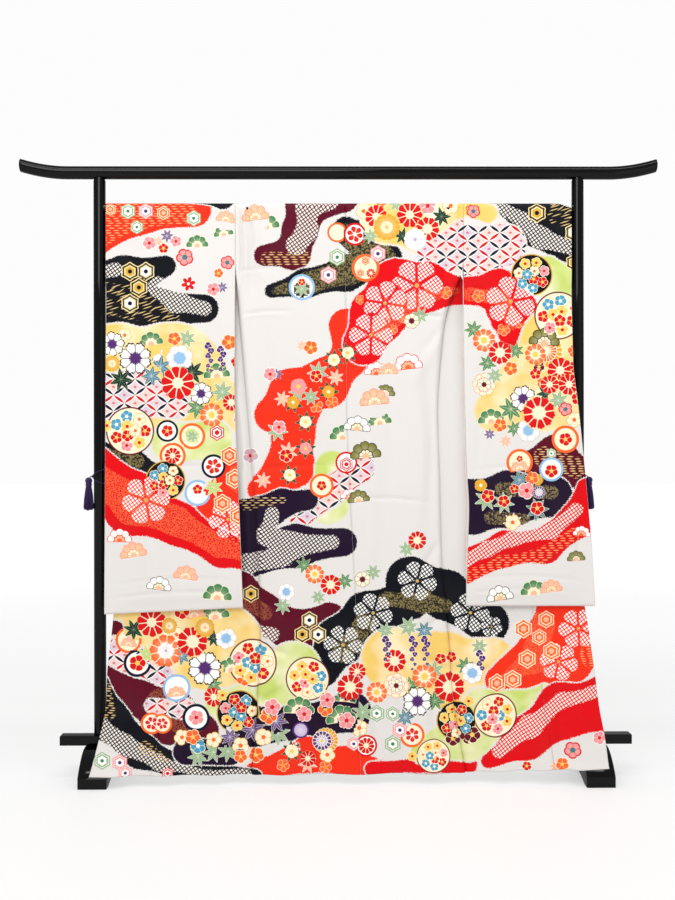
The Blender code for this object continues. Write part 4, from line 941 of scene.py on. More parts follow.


# motifs read from the photograph, each as x, y and radius in its pixels; middle is its column at
# the stand's middle, row the one that lies heightCm above the floor
photoPlace = {"middle": 338.6, "row": 410.0, "heightCm": 103.3, "pixelsPerCm": 3.55}
motifs = {
    "orangeRing": [(191, 436, 13), (172, 456, 13), (337, 232, 10), (365, 268, 14), (320, 486, 12),
        (128, 640, 13), (150, 723, 11), (161, 723, 10), (412, 736, 12.5), (566, 440, 14), (519, 463, 13.5)],
    "navyRing": [(166, 430, 11), (212, 466, 12), (136, 663, 14), (195, 718, 14)],
    "redRing": [(355, 233, 11.5), (345, 463, 11), (365, 747, 11)],
    "blueRing": [(197, 492, 13), (302, 286, 13), (176, 688, 14), (552, 470, 12)],
    "purpleRing": [(299, 731, 8)],
    "darkRoundel": [(164, 481, 20), (238, 712, 22), (455, 722, 20), (532, 275, 21)],
    "creamRoundel": [(130, 431, 24), (252, 664, 24), (306, 679, 22), (432, 758, 17), (494, 716, 22),
        (558, 315, 24)],
    "bluePeony": [(178, 357, 14), (151, 350, 12), (286, 593, 9), (225, 638, 11), (472, 674, 11),
        (528, 431, 12)],
    "bluePlum": [(197, 747, 8)],
    "camellia": [(333, 359, 6.3), (304, 422, 6.3), (289, 475, 6.3), (348, 352, 6.3), (291, 752, 7)],
    "creamPlum": [(124, 334, 7), (450, 206, 9), (364, 210, 8), (176, 634, 8), (181, 738, 8), (213, 740, 8),
        (240, 746, 9), (290, 716, 9), (358, 728, 9), (318, 690, 8), (326, 755, 8), (262, 738, 9),
        (490, 428, 7), (574, 420, 8), (513, 523, 8)],
    "darkLeaves": [(192, 372, 13), (120, 380, 12), (403, 235, 9), (442, 216, 10), (333, 359, 10.5),
        (328, 391, 10.5), (292, 402, 10.5), (304, 422, 10.5), (305, 448, 10.5), (289, 475, 10.5),
        (348, 352, 10.5), (132, 630, 11), (212, 638, 9), (291, 752, 11), (547, 393, 10)],
    "darkPeony": [(411, 320, 8), (362, 579, 8), (396, 686, 7), (484, 385, 7)],
    "dotFlower": [(188, 284, 7), (243, 436, 7)],
    "goldKikko": [(129, 271, 9.5), (146, 271, 9.5), (137.5, 287, 9.5), (129, 303, 9.5), (250, 594, 9),
        (308, 620, 9), (302, 634, 9), (318, 634, 9), (537, 212, 10), (574, 232, 10), (574, 262, 9)],
    "goldMum": [(324, 742, 13), (546, 350, 17)],
    "goldPlum": [(414, 303, 7), (445, 293, 8), (392, 330, 7), (402, 318, 5), (360, 300, 6), (315, 405, 9),
        (332, 402, 8), (281, 766, 8), (325, 768, 8), (478, 296, 8), (504, 330, 8), (520, 322, 7),
        (521, 484, 7)],
    "greenKikko": [(128, 210, 8), (136, 226, 7), (193, 218, 8), (336, 256, 9), (101, 760, 9),
        (375, 714, 8.5), (391, 714, 7.5), (391, 745, 9), (552, 453, 5.5)],
    "greenLeaves": [(196, 408, 12), (303, 566, 9), (344, 581, 9), (213, 684, 10), (410, 686, 10),
        (434, 702, 11), (464, 666, 10), (474, 330, 10), (488, 364, 10), (516, 350, 9), (511, 410, 13),
        (514, 428, 9)],
    "greenPine": [(196, 241, 10), (224, 230, 9), (150, 338, 11), (216, 370, 12), (216, 593, 13),
        (266, 222, 12), (380, 418, 11), (342, 433, 12), (231, 665, 12), (215, 612, 13), (297, 706, 14),
        (344, 696, 10), (341, 714, 14), (491, 416, 12), (534, 589, 12)],
    "greyPlum": [(250, 456, 8)],
    "kanokoFlower": [(145, 500, 24), (226, 519, 19), (417, 285, 26), (384, 303, 22), (370, 335, 22),
        (417, 582, 20), (372, 614, 20), (470, 614, 20), (342, 646, 20), (492, 628, 11), (579, 629, 20),
        (558, 664, 19), (510, 301, 25)],
    "limeLeaves": [(212, 487, 10), (146, 655, 10)],
    "linePine": [(157, 584, 11), (356, 424, 12), (501, 594, 12)],
    "linePineRed": [(118, 536, 11), (376, 369, 11), (408, 361, 13), (350, 494, 9), (581, 532, 8)],
    "linedPlum": [(185, 256, 9), (226, 262, 7), (471, 208, 6), (573, 751, 9), (474, 211, 7), (565, 409, 7)],
    "maroonPlum": [(452, 740, 8), (468, 736, 10), (472, 736, 9), (540, 366, 6)],
    "mustardCamellia": [(328, 391, 6.3), (292, 402, 6.3), (480, 486, 6.5), (538, 480, 6)],
    "olivePine": [(385, 389, 9), (366, 450, 14), (359, 496, 10), (544, 336, 14), (577, 556, 8)],
    "orangeKikko": [(110, 209, 6), (162, 212, 7), (229, 455, 10), (233, 478, 10), (221, 503, 9.5),
        (237, 516, 9.5), (365, 260, 5), (360, 272, 4.5), (524, 629, 9.5), (547, 621, 9), (540, 638, 8),
        (551, 652, 9.5), (527, 660, 9.5), (497, 685, 9.5), (513, 681, 9.5)],
    "orangeMumWide": [(211, 414, 12.5), (313, 574, 10), (164, 650, 17), (423, 678, 13), (375, 694, 11),
        (484, 340, 12), (535, 354, 11)],
    "orangePlum": [(218, 272, 5), (174, 338, 7), (228, 342, 8), (311, 347, 7.5), (382, 202, 6),
        (243, 679, 8), (192, 738, 8), (240, 757, 7), (268, 716, 9), (324, 709, 8), (256, 756, 8),
        (562, 766, 7), (511, 369, 7.5), (543, 382, 6), (500, 425, 7), (574, 350, 7), (532, 479, 7)],
    "palePeony": [(396, 686, 13), (484, 385, 12)],
    "peachLeaves": [(158, 240, 6), (302, 346, 6), (287, 452, 10), (335, 377, 8), (282, 399, 8),
        (262, 481, 8), (307, 765, 10), (556, 768, 7), (505, 441, 7), (512, 523, 10)],
    "peachPine": [(225, 216, 9), (133, 549, 12), (184, 573, 11), (256, 212, 12), (388, 369, 9),
        (374, 397, 13), (128, 642, 7), (176, 691, 8), (193, 612, 10), (519, 466, 8), (551, 586, 10)],
    "peony": [(134, 358, 17), (112, 344, 13), (200, 393, 12), (203, 669, 18), (417, 702, 15.5),
        (523, 399, 14)],
    "pinkCamellia": [(305, 448, 6.3), (297, 386, 8)],
    "pinkKikko": [(145, 211, 8), (328, 274, 9), (377, 253, 8.5), (118, 763, 8), (124, 773, 7),
        (399, 730, 8), (352, 745, 7)],
    "pinkPlum": [(148, 242, 7), (175, 241, 6), (212, 289, 7), (240, 418, 7), (270, 374, 7), (428, 205, 9),
        (279, 427, 7), (195, 718, 8), (271, 708, 9), (303, 715, 8), (345, 722, 9), (326, 700, 8),
        (600, 739, 7), (526, 491, 9)],
    "redCrest": [(212, 466, 8), (355, 233, 8.5), (150, 723, 7), (161, 723, 6), (412, 736, 7.5)],
    "redKikko": [(216, 432, 8), (345, 464, 7), (167, 774, 6)],
    "redMum": [(177, 383, 17), (172, 456, 8), (370, 273, 4.6), (376, 216, 11.5), (410, 214, 13),
        (212, 696, 10), (150, 622, 15), (307, 759, 8), (356, 672, 9), (365, 747, 8), (560, 370, 13),
        (549, 384, 9.5), (569, 385, 11), (578, 366, 8)],
    "redMumWide": [(231, 402, 9), (428, 228, 12.5), (329, 585, 10.5), (416, 541, 9.5), (192, 642, 16),
        (350, 688, 14), (393, 662, 12), (449, 688, 16), (501, 352, 12), (539, 413, 17)],
    "redPlum": [(163, 248, 5.5), (236, 362, 6), (166, 430, 6.5), (197, 489, 5.5), (302, 281, 4),
        (316, 376, 6.5), (285, 456, 7), (320, 485, 5.5), (136, 663, 9), (180, 612, 8), (440, 659, 6),
        (451, 657, 6), (526, 768, 5), (536, 374, 6), (566, 440, 7), (519, 459, 3.6), (552, 471, 7),
        (578, 398, 7), (487, 497, 7), (503, 501, 6.5), (514, 489, 5), (537, 508, 7.5)],
    "sageLeaves": [(222, 392, 12), (186, 338, 10), (191, 436, 7), (302, 289, 8), (371, 235, 8),
        (396, 204, 8), (297, 392, 10), (318, 372, 11), (277, 430, 11), (310, 396, 9), (421, 316, 9),
        (318, 598, 8), (282, 606, 9), (406, 549, 9), (372, 572, 9), (197, 758, 11), (212, 752, 11),
        (226, 752, 11), (277, 734, 13), (432, 672, 12), (385, 632, 9), (407, 628, 11), (478, 648, 9),
        (362, 712, 11), (494, 376, 9), (558, 400, 11), (486, 499, 12), (503, 504, 11)],
    "tealLeaves": [(160, 366, 13), (150, 376, 11), (180, 656, 10), (424, 632, 10), (405, 719, 10),
        (537, 510, 12), (520, 480, 10)],
    "violetLeaves": [(167, 235, 7), (221, 286, 6), (277, 374, 6), (228, 738, 10), (274, 722, 12),
        (252, 730, 13), (490, 435, 6)],
    "violetMum": [(320, 741, 10), (539, 493, 6.5)],
    "whiteMum": [(415, 239, 11.5), (165, 651, 8)],
    "yellowMum": [(111, 364, 8), (387, 226, 13.5), (203, 628, 10), (168, 626, 8)],
    "yellowPlum": [(106, 426, 6), (222, 695, 5.8), (412, 758, 5.4), (469, 703, 5.6)],
}


groundNames = ["orange", "red", "navy", "purple", "maroon", "yellow", "lime", "shippo"]
markNames = ["kanoko", "dash", "gold", "scroll"]
whiteLine = 0.0028
fieldReach = 0.03
strokeWaist = 0.10
underStyles = ("goldMum", "palePeony", "goldPlum", "kanokoFlower")
# how deep the petal tips are notched
frills = {
    "peony": 0.08, "redMumWide": 0.07, "orangeMumWide": 0.06, "palePeony": 0.06, "darkPeony": 0.07,
    "bluePeony": 0.07, "camellia": 0.04, "mustardCamellia": 0.04, "pinkCamellia": 0.04,
}
# flower chains: x, z and number of flowers
wisteria = (
    (-37.0, 121.5, 6), (-33.5, 120.5, 5), (20.5, 38.5, 7), (13.0, 38.5, 5), (24.0, 38.5, 6), (39.5, 34.5, 4),
)


def insideDistance(lobes, spots):
    # depth inside a stroke through the lobes, minus outside it; the stroke is slimmer between lobes
    blend = 0.005
    total = np.zeros(len(spots))
    for (x0, z0, r0), (x1, z1, r1) in zip(lobes, lobes[1:] if len(lobes) > 1 else lobes):
        dx, dz = x1 - x0, z1 - z0
        share = ((spots[:, 0] - x0) * dx + (spots[:, 1] - z0) * dz) / max(dx * dx + dz * dz, 1e-12)
        share = np.clip(share, 0.0, 1.0)
        radius = (r0 + share * (r1 - r0)) * (1.0 - strokeWaist * np.sin(math.pi * share))
        away = np.hypot(spots[:, 0] - x0 - share * dx, spots[:, 1] - z0 - share * dz)
        total += np.exp((radius - away) / blend)
    return blend * np.log(np.maximum(total, 1e-300))


def shownOn(zone, x, z):
    # the body and the sleeves each leave out what lies on the other
    sleeveSide = (z > 0.47) & ((x < -0.265) | (x > 0.345))
    return (zone == 2) == sleeveSide


cloudStrokes = [(row[0], np.array(row[1:], float) / 100.0) for row in clouds]


def paintRegions(mesh, plane, zone):
    fields = {name: np.full(len(plane), -fieldReach) for name in groundNames + markNames}
    for name, lobes in cloudStrokes:
        low = (lobes[:, :2] - lobes[:, 2:]).min(0) - fieldReach
        high = (lobes[:, :2] + lobes[:, 2:]).max(0) + fieldReach
        middle = lobes[:, :2].mean(0)
        near = np.all((plane > low) & (plane < high), 1) & shownOn(zone, middle[0], middle[1])
        near = np.where(near)[0]
        if not len(near):
            continue
        depth = insideDistance(lobes, plane[near])
        if name in groundNames:
            for other in groundNames + markNames:
                if other != name:
                    fields[other][near] = np.minimum(fields[other][near], -depth - whiteLine)
        fields[name][near] = np.maximum(fields[name][near], np.clip(depth, -fieldReach, fieldReach))
    for label, names in (("groundsA", groundNames[:4]), ("groundsB", groundNames[4:]), ("marks", markNames)):
        packed = np.stack([np.clip(fields[name] / (2 * fieldReach) + 0.5, 0.0, 1.0) for name in names], -1)
        layer = mesh.attributes.new(label, "FLOAT_COLOR", "POINT")
        layer.data.foreach_set("color", packed.astype(np.float32).ravel())


def onCloth(photoX, photoY, photoRadius):
    # a spot read from the photograph, as x and z to half a centimetre and a radius to a millimetre
    x = (photoX - photoPlace["middle"]) / photoPlace["pixelsPerCm"]
    z = photoPlace["heightCm"] + (photoPlace["row"] - photoY) / photoPlace["pixelsPerCm"]
    return round(2 * x) / 2, round(2 * z) / 2, round(photoRadius / photoPlace["pixelsPerCm"], 1)


def layMotifs():
    # every motif as style, x, z, radius and turn, in metres and radians, the later ones on top
    laid = []
    for name, spots in motifs.items():
        for number, (x, z, radius) in enumerate(onCloth(*spot) for spot in spots):
            style = "silverKikko" if name == "goldKikko" and number % 2 else name
            radius *= 1.15 if "Pine" in style else 0.8 if style == "goldPlum" else 1.0
            drop = 0.42 * radius if "Pine" in style else 0.0
            widest = 0.0 if "Kikko" in style else 0.16 if "Pine" in style else 0.8
            swing = math.sin(7.3 * x + 3.1 * z) * widest
            laid.append((style, x / 100, (z - drop) / 100, radius / 100, swing))
    small = [colour + "Plum" for colour in "red blue yellow cream red yellow blue pink".split()]
    for style in ("darkRoundel", "creamRoundel"):
        for number, (x, z, radius) in enumerate(onCloth(*spot) for spot in motifs[style]):
            for k in range(10):
                reach, angle = (0.62, 2 * math.pi * k / 7 + number) if k < 7 else (0.22, 2.1 * k + number)
                across, up = x + radius * reach * math.cos(angle), z + radius * reach * math.sin(angle)
                name = small[(3 * k + number) % len(small)]
                laid.append((name, across / 100, up / 100, 0.0027 * radius, 0.7 * k))
    for x, z, length in wisteria:
        for k in range(length):
            across, up = x + 0.8 * (k % 2), z - 1.4 * k
            laid.append(("violetDrop", across / 100, up / 100, 0.0118 - 0.0012 * k, k))
    return laid


laidMotifs = layMotifs()


def paintMotifs(mesh, corners, faceOf, zone):
    count = int(faceOf[-1]) + 1
    sides = np.bincount(faceOf, minlength=count)
    middles = np.stack([np.bincount(faceOf, corners[:, k], count) / sides for k in (0, 1)], -1)
    faceZone = zone[np.concatenate([[0], np.cumsum(sides)[:-1]])]
    for label in ("Low", "High"):
        chosen = np.full(count, -1)
        nearness = np.full(count, 9.0)
        for number, (style, x, z, radius, turn) in enumerate(laidMotifs):
            under = "Ring" in style or "Roundel" in style or "Leaves" in style or style in underStyles
            if under != (label == "Low"):
                continue
            near = np.all(np.abs(middles - np.array([x, z])) < radius + 0.004, 1) & shownOn(faceZone, x, z)
            near = np.where(near)[0]
            if not len(near):
                continue
            away = np.hypot(middles[near, 0] - x, middles[near, 1] - z) / radius
            take = (away < 1.0) | ((away < 1.0 + 0.004 / radius) & (nearness[near] > 1.0))
            chosen[near[take]] = number
            nearness[near[take]] = away[take]
        spot = np.full((len(corners), 2), 9.0)
        parts = ("ShapeA", "ShapeB", "Petal", "Accent", "Centre", "Line")
        values = {part: np.zeros((len(corners), 4)) for part in parts}
        used = chosen[faceOf]
        for number in np.unique(chosen[chosen >= 0]):
            style, x, z, radius, turn = laidMotifs[number]
            here = used == number
            petals, lobe, power, middle, gap, line, cutOff, dotted, inner, *colours = styles[style]
            across, up = corners[here, 0] - x, corners[here, 1] - z
            c, s = math.cos(math.pi / 2 + turn), math.sin(math.pi / 2 + turn)
            spot[here] = np.stack([across * c + up * s, up * c - across * s], -1) / radius
            values["ShapeA"][here] = (petals / 24, lobe, power / 5, middle)
            values["ShapeB"][here] = (gap, line, cutOff / 2, dotted)
            for part, colour in zip(parts[2:], colours):
                values[part][here] = ink(*palette[colour])
            values["Petal"][here, 3] = inner
            values["Accent"][here, 3] = frills.get(style, 0.06 if "Leaves" in style else 0.0)
            values["Centre"][here, 3] = "Leaves" in style
        uvLayer = mesh.uv_layers.new(name="spot" + label)
        uvLayer.data.foreach_set("uv", spot.astype(np.float32).ravel())
        for part, table in values.items():
            layer = mesh.attributes.new(part + label, "FLOAT_COLOR", "CORNER")
            layer.data.foreach_set("color", table.astype(np.float32).ravel())


def readColour(name):
    node = addNode("ShaderNodeAttribute", attribute_type="GEOMETRY", attribute_name=name)
    return node.outputs["Color"], Flow(node.outputs["Alpha"])


def readParts(name):
    colour, alpha = readColour(name)
    parts = addNode("ShaderNodeSeparateColor")
    plug(parts.inputs[0], colour)
    return Flow(parts.outputs[0]), Flow(parts.outputs[1]), Flow(parts.outputs[2]), alpha


def readPlace(name):
    parts = addNode("ShaderNodeSeparateXYZ")
    place = addNode("ShaderNodeUVMap", uv_map=name).outputs[0]
    plug(parts.inputs[0], place)
    return place, Flow(parts.outputs[0]), Flow(parts.outputs[1])


silk = {
    "white": (224, 220, 216), "orange": (243, 48, 22), "red": (224, 6, 16), "navy": (8, 10, 20),
    "purple": (30, 10, 40), "maroon": (92, 6, 32), "yellow": (240, 202, 108), "lime": (198, 214, 112),
    "faded": (250, 242, 216),
    "shippo": (238, 212, 208), "kanokoSize": 0.0088, "dashRow": 0.0068, "dashLength": 0.024,
    "shippoWide": 0.0303, "shippoHigh": 0.0229, "edgeWander": 0.22, "roughness": 0.46, "sheen": 0.03,
    "threads": 7400.0, "liningThreads": 7000.0,
}
silkPaint, shader = newMaterial("printedSilk")
place, across, up = readPlace("patternPlane")
wander = (noiseOf(place, 300.0, 2.0) - 0.5) * silk["edgeWander"]
clothColour = ink(*silk["white"])
fieldsA, fieldsB, marks = readParts("groundsA"), readParts("groundsB"), readParts("marks")
inked = {}
for name, field in zip(groundNames, fieldsA + fieldsB):
    softness = 0.09 if name in ("yellow", "lime") else 0.008
    inked[name] = edge(field + wander, 0.5 - softness * 0.3, 0.5 + softness)
tone = noiseOf(place, 9.0, 2.0)
for name in groundNames:
    full = ink(*silk[name])
    paler = tuple(min(1.0, part * 0.88 + 0.006) for part in full[:3]) + (1.0,)
    if name in ("yellow", "lime"):
        paler = ink(*silk["faded"])
    clothColour = blendColour(inked[name], clothColour, blendColour(edge(tone, 0.42, 0.76), full, paler))

# linked lozenges of the shippo ground
a = (across / silk["shippoWide"] + up / silk["shippoHigh"]) * 0.5
b = (up / silk["shippoHigh"] - across / silk["shippoWide"]) * 0.5
wave = [size(sine(line * math.pi)) for line in (a, b)]
offA, offB = size(fraction(a + 0.5) - 0.5), size(fraction(b + 0.5) - 0.5)
thinnest = least(offA - wave[1] * 0.11, offB - wave[0] * 0.11)
onFirst = above(offB - wave[0] * 0.11, offA - wave[1] * 0.11)
lensRow = (whole(a + 0.5) * 2.1 + whole(b) * 3.7) * onFirst
lensRow = lensRow + (whole(b + 0.5) * 2.9 + whole(a) * 1.7) * invert(onFirst)
oneWay = above(sine(lensRow), 0.05)
lens = edge(thinnest, 0.012, -0.012)
pale = edge(thinnest, 0.075, 0.050)
middleDot = edge(wave[0] * wave[1], 0.93, 0.97)
shippoInk = blendColour(sine(whole(a) * 5.3 + whole(b) * 3.1), ink(240, 206, 200), ink(214, 200, 214))
shippoInk = blendColour(middleDot, shippoInk, ink(206, 120, 120))
shippoInk = blendColour(pale, shippoInk, ink(250, 246, 240))
shippoInk = blendColour(lens, shippoInk, blendColour(oneWay, ink(206, 26, 34), ink(26, 26, 52)))
clothColour = blendColour(inked["shippo"], clothColour, shippoInk)

# tie-dyed squares, brush dashes, gold specks and scrolling lines, only on the dark grounds
deep = most(most(inked["navy"], inked["purple"]), most(inked["maroon"], most(inked["red"], inked["orange"])))
markOf = {name: edge(field + wander, 0.49, 0.51) * deep for name, field in zip(markNames, marks)}
turned = 0.61
sideways = (across * math.cos(turned) + up * math.sin(turned)) / silk["kanokoSize"]
upwards = (up * math.cos(turned) - across * math.sin(turned)) / silk["kanokoSize"]
square = most(size(fraction(sideways) - 0.5), size(fraction(upwards) - 0.5))
dotted = edge(square, 0.37, 0.31)
clothColour = blendColour(markOf["kanoko"] * dotted * 0.94, clothColour, ink(244, 236, 228))


def brushStrokes(slant, row, length, thick):
    # short strokes in rows, each row shifted by its own amount
    along = (across * math.cos(slant) + up * math.sin(slant)) / length
    aside = (up * math.cos(slant) - across * math.sin(slant)) / row
    shove = addNode("ShaderNodeTexWhiteNoise", noise_dimensions="1D")
    plug(shove.inputs["W"], whole(aside))
    strokeAlong = size(fraction(along + Flow(shove.outputs["Value"]) * 5.0) - 0.5) * 2.0
    strokeAside = size(fraction(aside) - 0.5) * 2.0
    return edge(strokeAside + strokeAlong * strokeAlong * 0.9, thick + 0.06, thick - 0.06)


goldInk = blendColour(tone, ink(240, 214, 160), ink(214, 164, 84))
dash = brushStrokes(0.0, silk["dashRow"], silk["dashLength"], 0.50)
warm = most(inked["red"], inked["orange"])
dashInk = blendColour(warm, goldInk, ink(252, 158, 104))
clothColour = blendColour(markOf["dash"] * dash * 0.9, clothColour, dashInk)
specks = addNode("ShaderNodeTexVoronoi", feature="F1")
plug(specks.inputs["Vector"], place)
specks.inputs["Scale"].default_value = 210.0
grain = edge(Flow(specks.outputs["Distance"]) + (noiseOf(place, 70.0, 2.0) - 0.5) * 0.3, 0.60, 0.42)
clothColour = blendColour(markOf["gold"] * (grain * 0.62 + 0.06), clothColour, ink(156, 140, 88))
hatch = most(brushStrokes(0.30, 0.0084, 0.050, 0.30), brushStrokes(0.62, 0.0190, 0.064, 0.14))
ruddy = most(warm, inked["maroon"])
hatch = hatch * invert(ruddy) * invert(markOf["kanoko"])
clothColour = blendColour(markOf["scroll"] * hatch * 0.9, clothColour, ink(236, 204, 138))
net = addNode("ShaderNodeTexVoronoi", feature="DISTANCE_TO_EDGE")
plug(net.inputs["Vector"], place)
net.inputs["Scale"].default_value = 170.0
netting = edge(Flow(net.outputs["Distance"]), 0.20, 0.08)
netInk = blendColour(warm, ink(168, 92, 62), ink(250, 112, 70))
netted = markOf["scroll"] * netting * ruddy * invert(markOf["kanoko"]) * 0.65
clothColour = blendColour(netted, clothColour, netInk)


def drawMotifs(label, below):
    spot, x, y = readPlace("spot" + label)
    petals, lobe, power, middle = readParts("ShapeA" + label)
    gap, line, cutOff, dots = readParts("ShapeB" + label)
    petalColour, inner = readColour("Petal" + label)
    accent, frill = readColour("Accent" + label)
    centre, pointed = readColour("Centre" + label)
    lineColour = readColour("Line" + label)[0]
    petals = petals * 24.0
    reach = calc("SQRT", x * x + y * y)
    angle = calc("ARCTAN2", y, x) * petals * 0.5
    swell = size(calc("COSINE", angle))
    notch = size(calc("COSINE", angle * 3.0))
    rim = 1.0 - lobe * (1.0 - swell ** (power * 5.0)) * (1.0 - pointed)
    rim = rim - lobe * size(sine(angle)) ** 1.4 * pointed - frill * (1.0 - notch)
    straight = above(power, 0.6)
    swellIn = swell * straight + size(sine(angle)) * (1.0 - straight)
    rimIn = inner * (1.0 - lobe * (1.0 - swellIn ** (power * 5.0)))
    shape = edge(rim - reach, -0.012, 0.012) * above(x, 0.0 - cutOff * 2.0)
    outer = above(reach, rimIn)
    between = reach * 2.0 / most(petals, 1.0) * (swell * outer + swellIn * (1.0 - outer))
    lines = most(edge(rim - reach, line + 0.012, line - 0.012), edge(between, gap + 0.008, gap - 0.008))
    innerLine = edge(size(reach - rimIn), line * 0.6 + 0.008, line * 0.6 - 0.008)
    lines = most(lines, innerLine * above(inner, 0.01))
    lines = most(lines, edge(size(x + cutOff * 2.0), 0.05, 0.03) * above(0.99, cutOff))
    lines = most(lines, edge(size(sine(angle)) * reach, 0.05, 0.02) * pointed * 0.8)
    innermost = edge(rimIn - reach, -0.012, 0.012) * above(inner, 0.01)
    fill = blendColour(most(innermost, edge(reach / rim, 0.9, 0.1) * 0.4), petalColour, accent)
    fill = blendColour(lines, fill, lineColour)
    heart = middle * (1.0 + frill * (notch * 4.0 - 2.0))
    fill = blendColour(edge(reach, heart + 0.012, heart - 0.012), fill, centre)
    tied = dotted * edge(between, 0.04, 0.07)
    cover = shape * (1.0 - dots * (1.0 - most(tied, edge(reach, middle + 0.012, middle - 0.012))))
    return blendColour(cover, below, fill)


clothColour = drawMotifs("Low", clothColour)
clothColour = drawMotifs("High", clothColour)
weave = sine(across * silk["threads"]) * sine(up * silk["threads"])
figure = noiseOf(place, 38.0, 1.0)
plug(shader.inputs["Base Color"], clothColour)
plug(shader.inputs["Roughness"], silk["roughness"] + edge(figure, 0.35, 0.65) * 0.10)
shader.inputs["Sheen Weight"].default_value = silk["sheen"]
shader.inputs["Sheen Roughness"].default_value = 0.4
shader.inputs["Specular IOR Level"].default_value = 0.10
plug(shader.inputs["Normal"], bumpOf(weave * 0.5 + edge(figure, 0.42, 0.58), 0.00012, 0.5))

liningPaint, shader = newMaterial("whiteLining")
place, across, up = readPlace("patternPlane")
liningColour = blendColour(noiseOf(place, 12.0, 2.0), ink(243, 240, 234), ink(236, 232, 226))
plug(shader.inputs["Base Color"], liningColour)
plug(shader.inputs["Roughness"], 0.5 + noiseOf(place, 40.0, 1.0) * 0.08)
shader.inputs["Sheen Weight"].default_value = 0.2
weave = sine(across * silk["liningThreads"]) * sine(up * silk["liningThreads"])
plug(shader.inputs["Normal"], bumpOf(weave, 0.0001, 0.4))
print("silk print set out:", len(clouds), "fields,", len(laidMotifs), "motifs")


# cloth pieces: a fine shell on each solid's form, creased, printed, then given its thickness
def buildSheet(name, rows, faces, plane, zone):
    mesh = bpy.data.meshes.new(name)
    mesh.from_pydata(rows.reshape(-1, 3).tolist(), [], faces)
    used = np.zeros(len(mesh.vertices), bool)
    corners = np.zeros(len(mesh.loops), np.int64)
    mesh.loops.foreach_get("vertex_index", corners)
    used[corners] = True
    flatPlane = plane.reshape(-1, 2)
    layer = mesh.uv_layers.new(name="patternPlane")
    layer.data.foreach_set("uv", flatPlane[corners].astype(np.float32).ravel())
    mesh.shade_smooth()
    sheet = bpy.data.objects.new(name, mesh)
    scene.collection.objects.link(sheet)
    zones = np.broadcast_to(zone, rows.shape[:2]).reshape(-1)
    paintRegions(mesh, flatPlane, zones)
    sides = np.zeros(len(mesh.polygons), np.int64)
    mesh.polygons.foreach_get("loop_total", sides)
    paintMotifs(mesh, flatPlane[corners], np.repeat(np.arange(len(sides)), sides), zones[corners])
    if not used.all():
        work = bmesh.new()
        work.from_mesh(mesh)
        loose = [point for point in work.verts if not point.link_faces]
        bmesh.ops.delete(work, geom=loose, context="VERTS")
        work.to_mesh(mesh)
        work.free()
    return sheet


def gridFaces(rowCount, columnCount, keep=None, ring=False, turned=False):
    faces = []
    for row in range(rowCount - 1):
        for column in range(columnCount if ring else columnCount - 1):
            if keep is not None and not keep(row, column):
                continue
            following = (column + 1) % columnCount
            a, b = row * columnCount + column, row * columnCount + following
            quad = (a, b, b + columnCount, a + columnCount)
            faces.append(quad[::-1] if turned else quad)
    return faces


def giveWall(sheet, slot, node, flat, **more):
    sheet.data.materials.append(silkPaint)
    sheet.data.materials.append(liningPaint)
    wall = sheet.modifiers.new("clothWall", "SOLIDIFY")
    wall.thickness = cut["cloth"]
    wall.offset = 0.0
    wall.use_even_offset = False
    wall.material_offset = 1
    wall.material_offset_rim = 0
    applyModifiers(sheet)
    finishPiece(sheet, silkPaint, slot, node)


def seamDip(distance, depth=0.0013, reach=0.0035):
    return depth * np.exp(-((distance / reach) ** 2))


def puckers(distance, h):
    # the slack side seam of the skirt: a sunk line with small uneven ripples across it
    low = 1 - ease(h, 0.46, 0.60)
    ripple = np.sin(2 * math.pi * h / 0.034 + 1.7 * np.sin(9.0 * h)) * (0.6 + 0.4 * np.sin(23.0 * h))
    return low * (seamDip(distance, 0.0042, 0.0045) + 0.0016 * ripple * np.exp(-((distance / 0.022) ** 2)))


